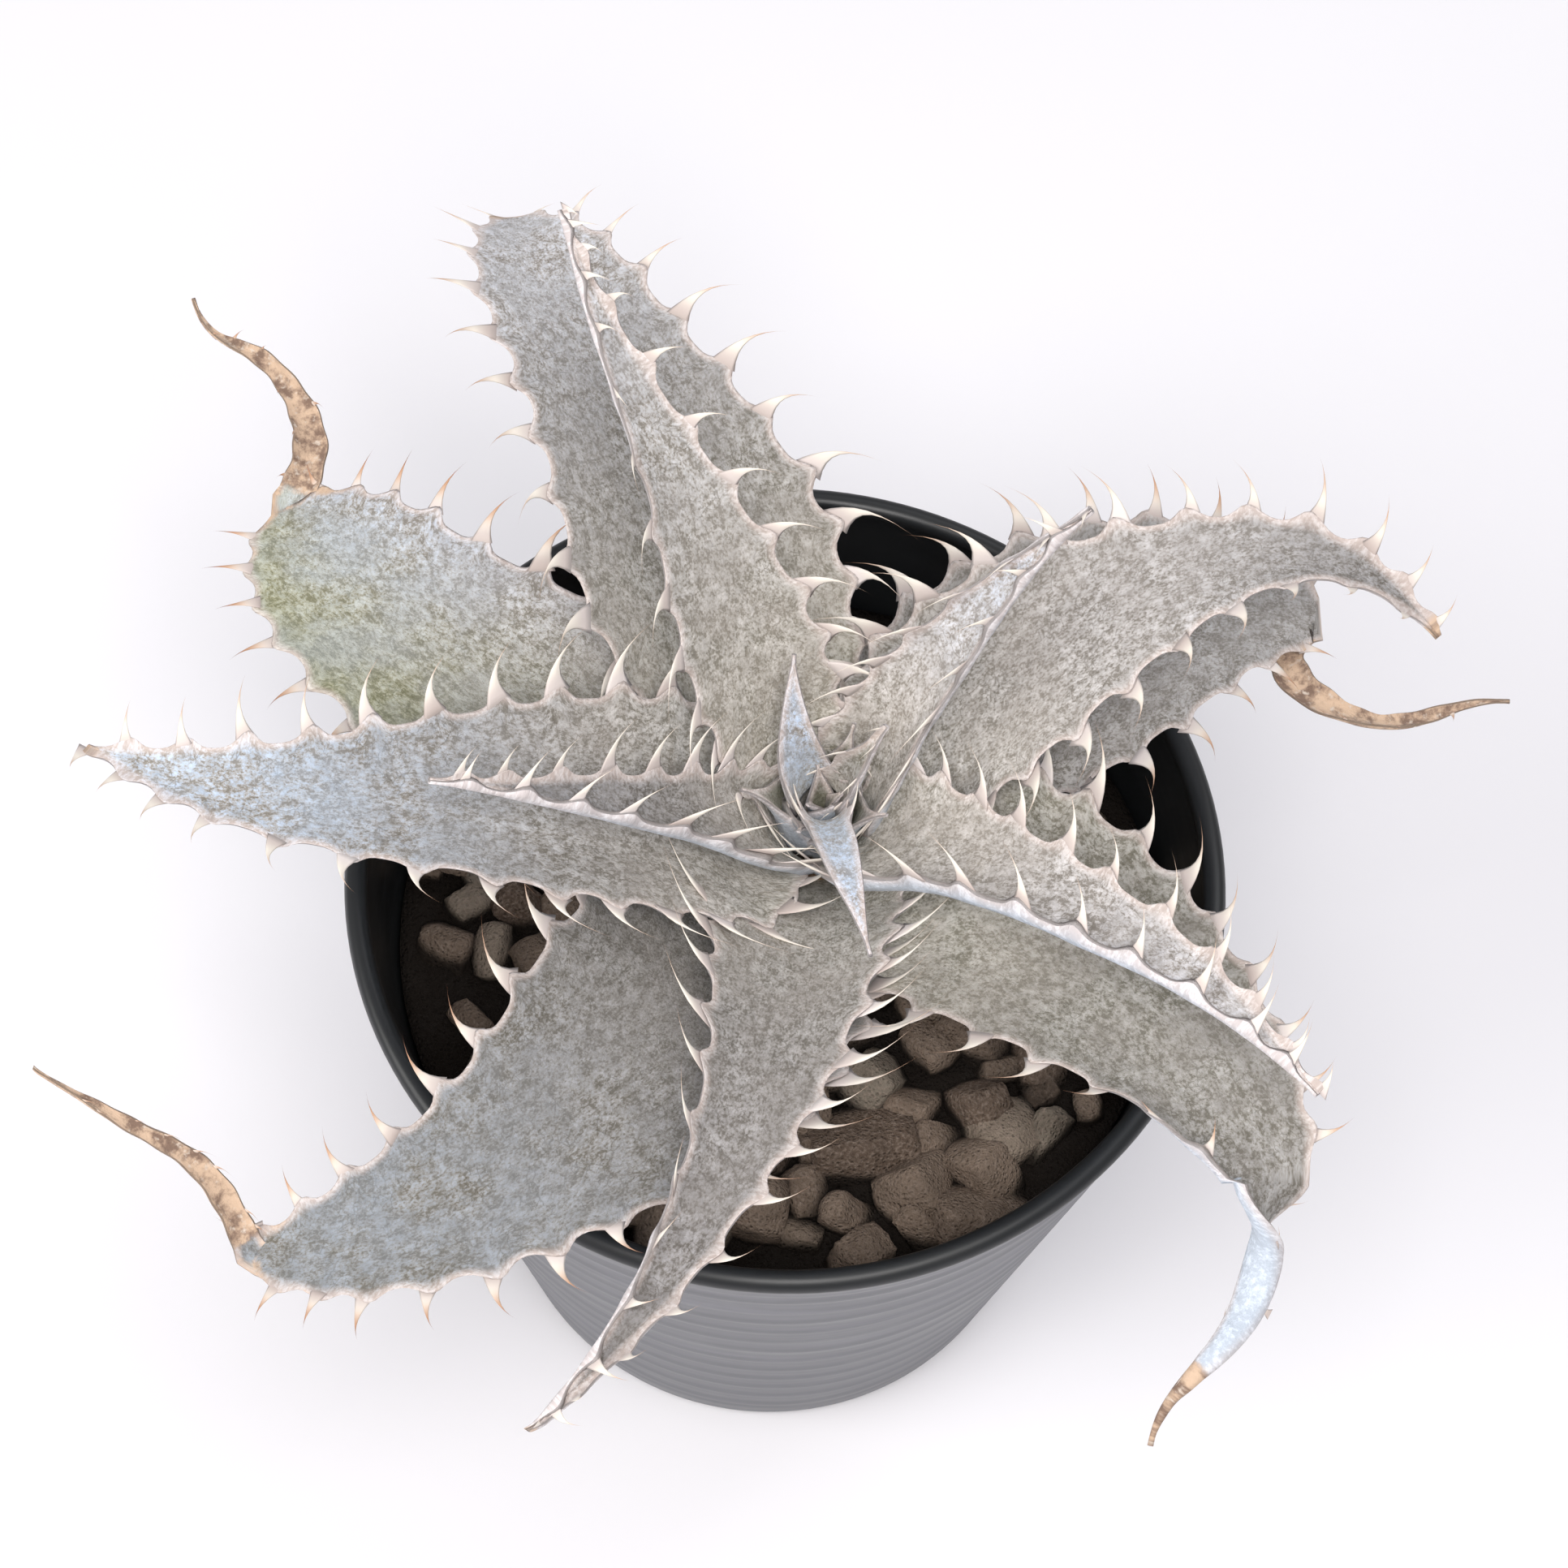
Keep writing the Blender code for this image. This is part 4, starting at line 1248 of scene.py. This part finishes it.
def build_pot(rib_tree, material):
    pot = turned("pot_shell", pot_profile(), POT_SIDES)
    run_nodes(pot, rib_tree, {**RIBS, "Material": material})
    cut_drain_holes(pot)
    finish_piece(pot, "pot_plastic", "pot")
    pot.data.set_sharp_from_angle(angle=math.radians(SHARP_ANGLE))


def keep_in_pot(obj):
    """Press whatever would pass the pot's inner wall back against it."""
    places = read_places(obj)
    limit = wall_radius(places[:, 2]) - WALL - GRAVEL_GAP
    radius = np.maximum(np.hypot(places[:, 0], places[:, 1]), MM)
    places[:, :2] *= np.minimum(1.0, limit / radius)[:, None]
    write_places(obj, places)


def build_gravel(tree, material):
    """The bed of mix, closed all round, with its loose top layer of stones."""
    rng = random.Random(GRAVEL_SEED)
    reach = wall_radius(BED_LEVEL) - WALL - BED_GAP
    rings = [(reach * i / BED_RINGS, BED_LEVEL) for i in range(1, BED_RINGS + 1)]
    rings.append((wall_radius(BED_CORNER) - WALL - BED_GAP, BED_CORNER))
    rings.append((0.9 * BASE_RADIUS, BED_BOTTOM))
    verts, opened = [], []
    for i, (radius, height) in enumerate(rings, 1):
        for k in range(BED_SPOKES):
            turn = 2.0 * math.pi * k / BED_SPOKES
            x, y = radius * math.cos(turn), radius * math.sin(turn)
            bump = rng.uniform(-BED_BUMP, BED_BUMP) * MM if i < BED_RINGS else 0.0
            verts.append((x, y, height + bump))
            clear = math.hypot(x - STEM_X, y) > CAUDEX_RADIUS and radius < reach - BED_EDGE
            opened.append(1.0 if clear and height == BED_LEVEL else 0.0)
    # The bed carries deep 1, so it is painted near-black as shade between the stones.
    bed = mesh_object("gravel_grains", verts, bed_faces(len(rings)),
                      {"open": opened, "deep": [1.0] * len(verts)})
    face_outwards(bed)
    run_nodes(bed, tree, {**GRAINS, "Material": material})
    keep_in_pot(bed)
    finish_piece(bed, "pumice_gravel", "gravel_mix")


def bed_faces(rows):
    """Faces between the bed's rings, and one across its first ring and one across its last."""
    faces = []
    for i in range(rows - 1):
        for k in range(BED_SPOKES):
            nxt = (k + 1) % BED_SPOKES
            a, b = i * BED_SPOKES, (i + 1) * BED_SPOKES
            faces.append((a + k, b + k, b + nxt, a + nxt))
    faces.append(tuple(range(BED_SPOKES)))
    last = (rows - 1) * BED_SPOKES
    faces.append(tuple(last + k for k in reversed(range(BED_SPOKES))))
    return faces


def build_stem(material):
    """The stem under the rosette, clothed in the stumps of old leaf bases."""
    profile = [(0.0, CAUDEX_BOTTOM, 0.0), (CAUDEX_FOOT, CAUDEX_BOTTOM, 0.0)]
    for i in range(CAUDEX_ROWS + 1):
        height = CAUDEX_LOW + (CAUDEX_TOP - CAUDEX_LOW) * i / CAUDEX_ROWS
        share = (height - CAUDEX_LOW) / (CAUDEX_TOP - CAUDEX_LOW)
        body = CAUDEX_RADIUS * (0.85 + 0.15 * math.sin(share * math.pi)) * (1.0 - 0.42 * share ** 5)
        tier = (share * SHEATH_TIERS) % 1.0
        profile.append((body * (1.0 - SHEATH_STEP * tier), height, 0.0))
    profile += [(radius, height, 0.0) for radius, height in NECK]
    stem = turned("stem_with_old_bases", profile, STEM_SIDES, centre_x=STEM_X)
    for vertex in stem.data.vertices:
        x, y, z = vertex.co.x - STEM_X, vertex.co.y, vertex.co.z
        if z < RAGGED_BELOW:
            turn = math.atan2(y, x)
            ragged = 1.0 + 0.05 * math.sin(5.0 * turn + z * 700.0) + 0.03 * math.sin(11.0 * turn - z * 1500.0)
            vertex.co.x = STEM_X + x * ragged * RAGGED_SCALE
            vertex.co.y = y * ragged * RAGGED_SCALE
    stem.data.materials.append(material)
    finish_piece(stem, "stem_bark", "stem")


# Stage.

def area_light(name, place, size, power, colour):
    light = bpy.data.lights.new(name, "AREA")
    light.shape = "DISK"
    light.size = size
    light.energy = power
    light.color = colour
    obj = bpy.data.objects.new(name, light)
    obj.location = place
    obj.rotation_euler = (Vector(LIGHTS_AIM) - Vector(place)).to_track_quat("-Z", "Y").to_euler()
    bpy.context.scene.collection.objects.link(obj)


def build_stage():
    """A pale table, soft studio light, and the camera of the photograph."""
    half = TABLE_HALF
    floor = mesh_object("table_top", [(-half, -half, 0), (half, -half, 0), (half, half, 0), (-half, half, 0)],
                        [(0, 1, 2, 3)])
    floor.data.materials.append(table_white())
    floor.location.z = TABLE_TOP
    world = bpy.data.worlds.new("studio")
    world.use_nodes = True
    world.node_tree.nodes["Background"].inputs["Color"].default_value = STUDIO_COLOUR
    world.node_tree.nodes["Background"].inputs["Strength"].default_value = STUDIO_STRENGTH
    bpy.context.scene.world = world
    for light in LIGHTS:
        area_light(*light)
    camera = bpy.data.cameras.new("camera")
    camera.lens = CAMERA_LENS
    camera.sensor_width = CAMERA_SENSOR
    camera.clip_start = CAMERA_NEAR
    eye = bpy.data.objects.new("camera", camera)
    eye.location = CAMERA_PLACE
    eye.rotation_euler = [math.radians(angle) for angle in CAMERA_TURN]
    bpy.context.scene.collection.objects.link(eye)
    bpy.context.scene.camera = eye
    bpy.context.scene.view_settings.view_transform = "Standard"


def main():
    grain = make_stone_group()
    leaf_material = scaly_leaf(make_felt_group())
    tooth_tree = make_tooth_tree()
    for number, (name, leaf) in enumerate(LEAVES.items()):
        blade = build_leaf(name, leaf, tooth_tree, leaf_material, number)
        if name == HEART_NODE:
            buds = [build_leaf("bud_%d" % k, bud, tooth_tree, leaf_material, BUD_SEED + k)
                    for k, bud in enumerate(YOUNG_LEAVES)]
            join_meshes(blade, buds)
        keep_inside(blade)
        finish_piece(blade, "leaf_scurf", name)
    build_pot(make_rib_tree(), pot_plastic())
    build_gravel(make_gravel_tree(), pumice(grain))
    build_stem(dead_sheath(grain))
    build_stage()


main()
bpy.context.view_layer.update()
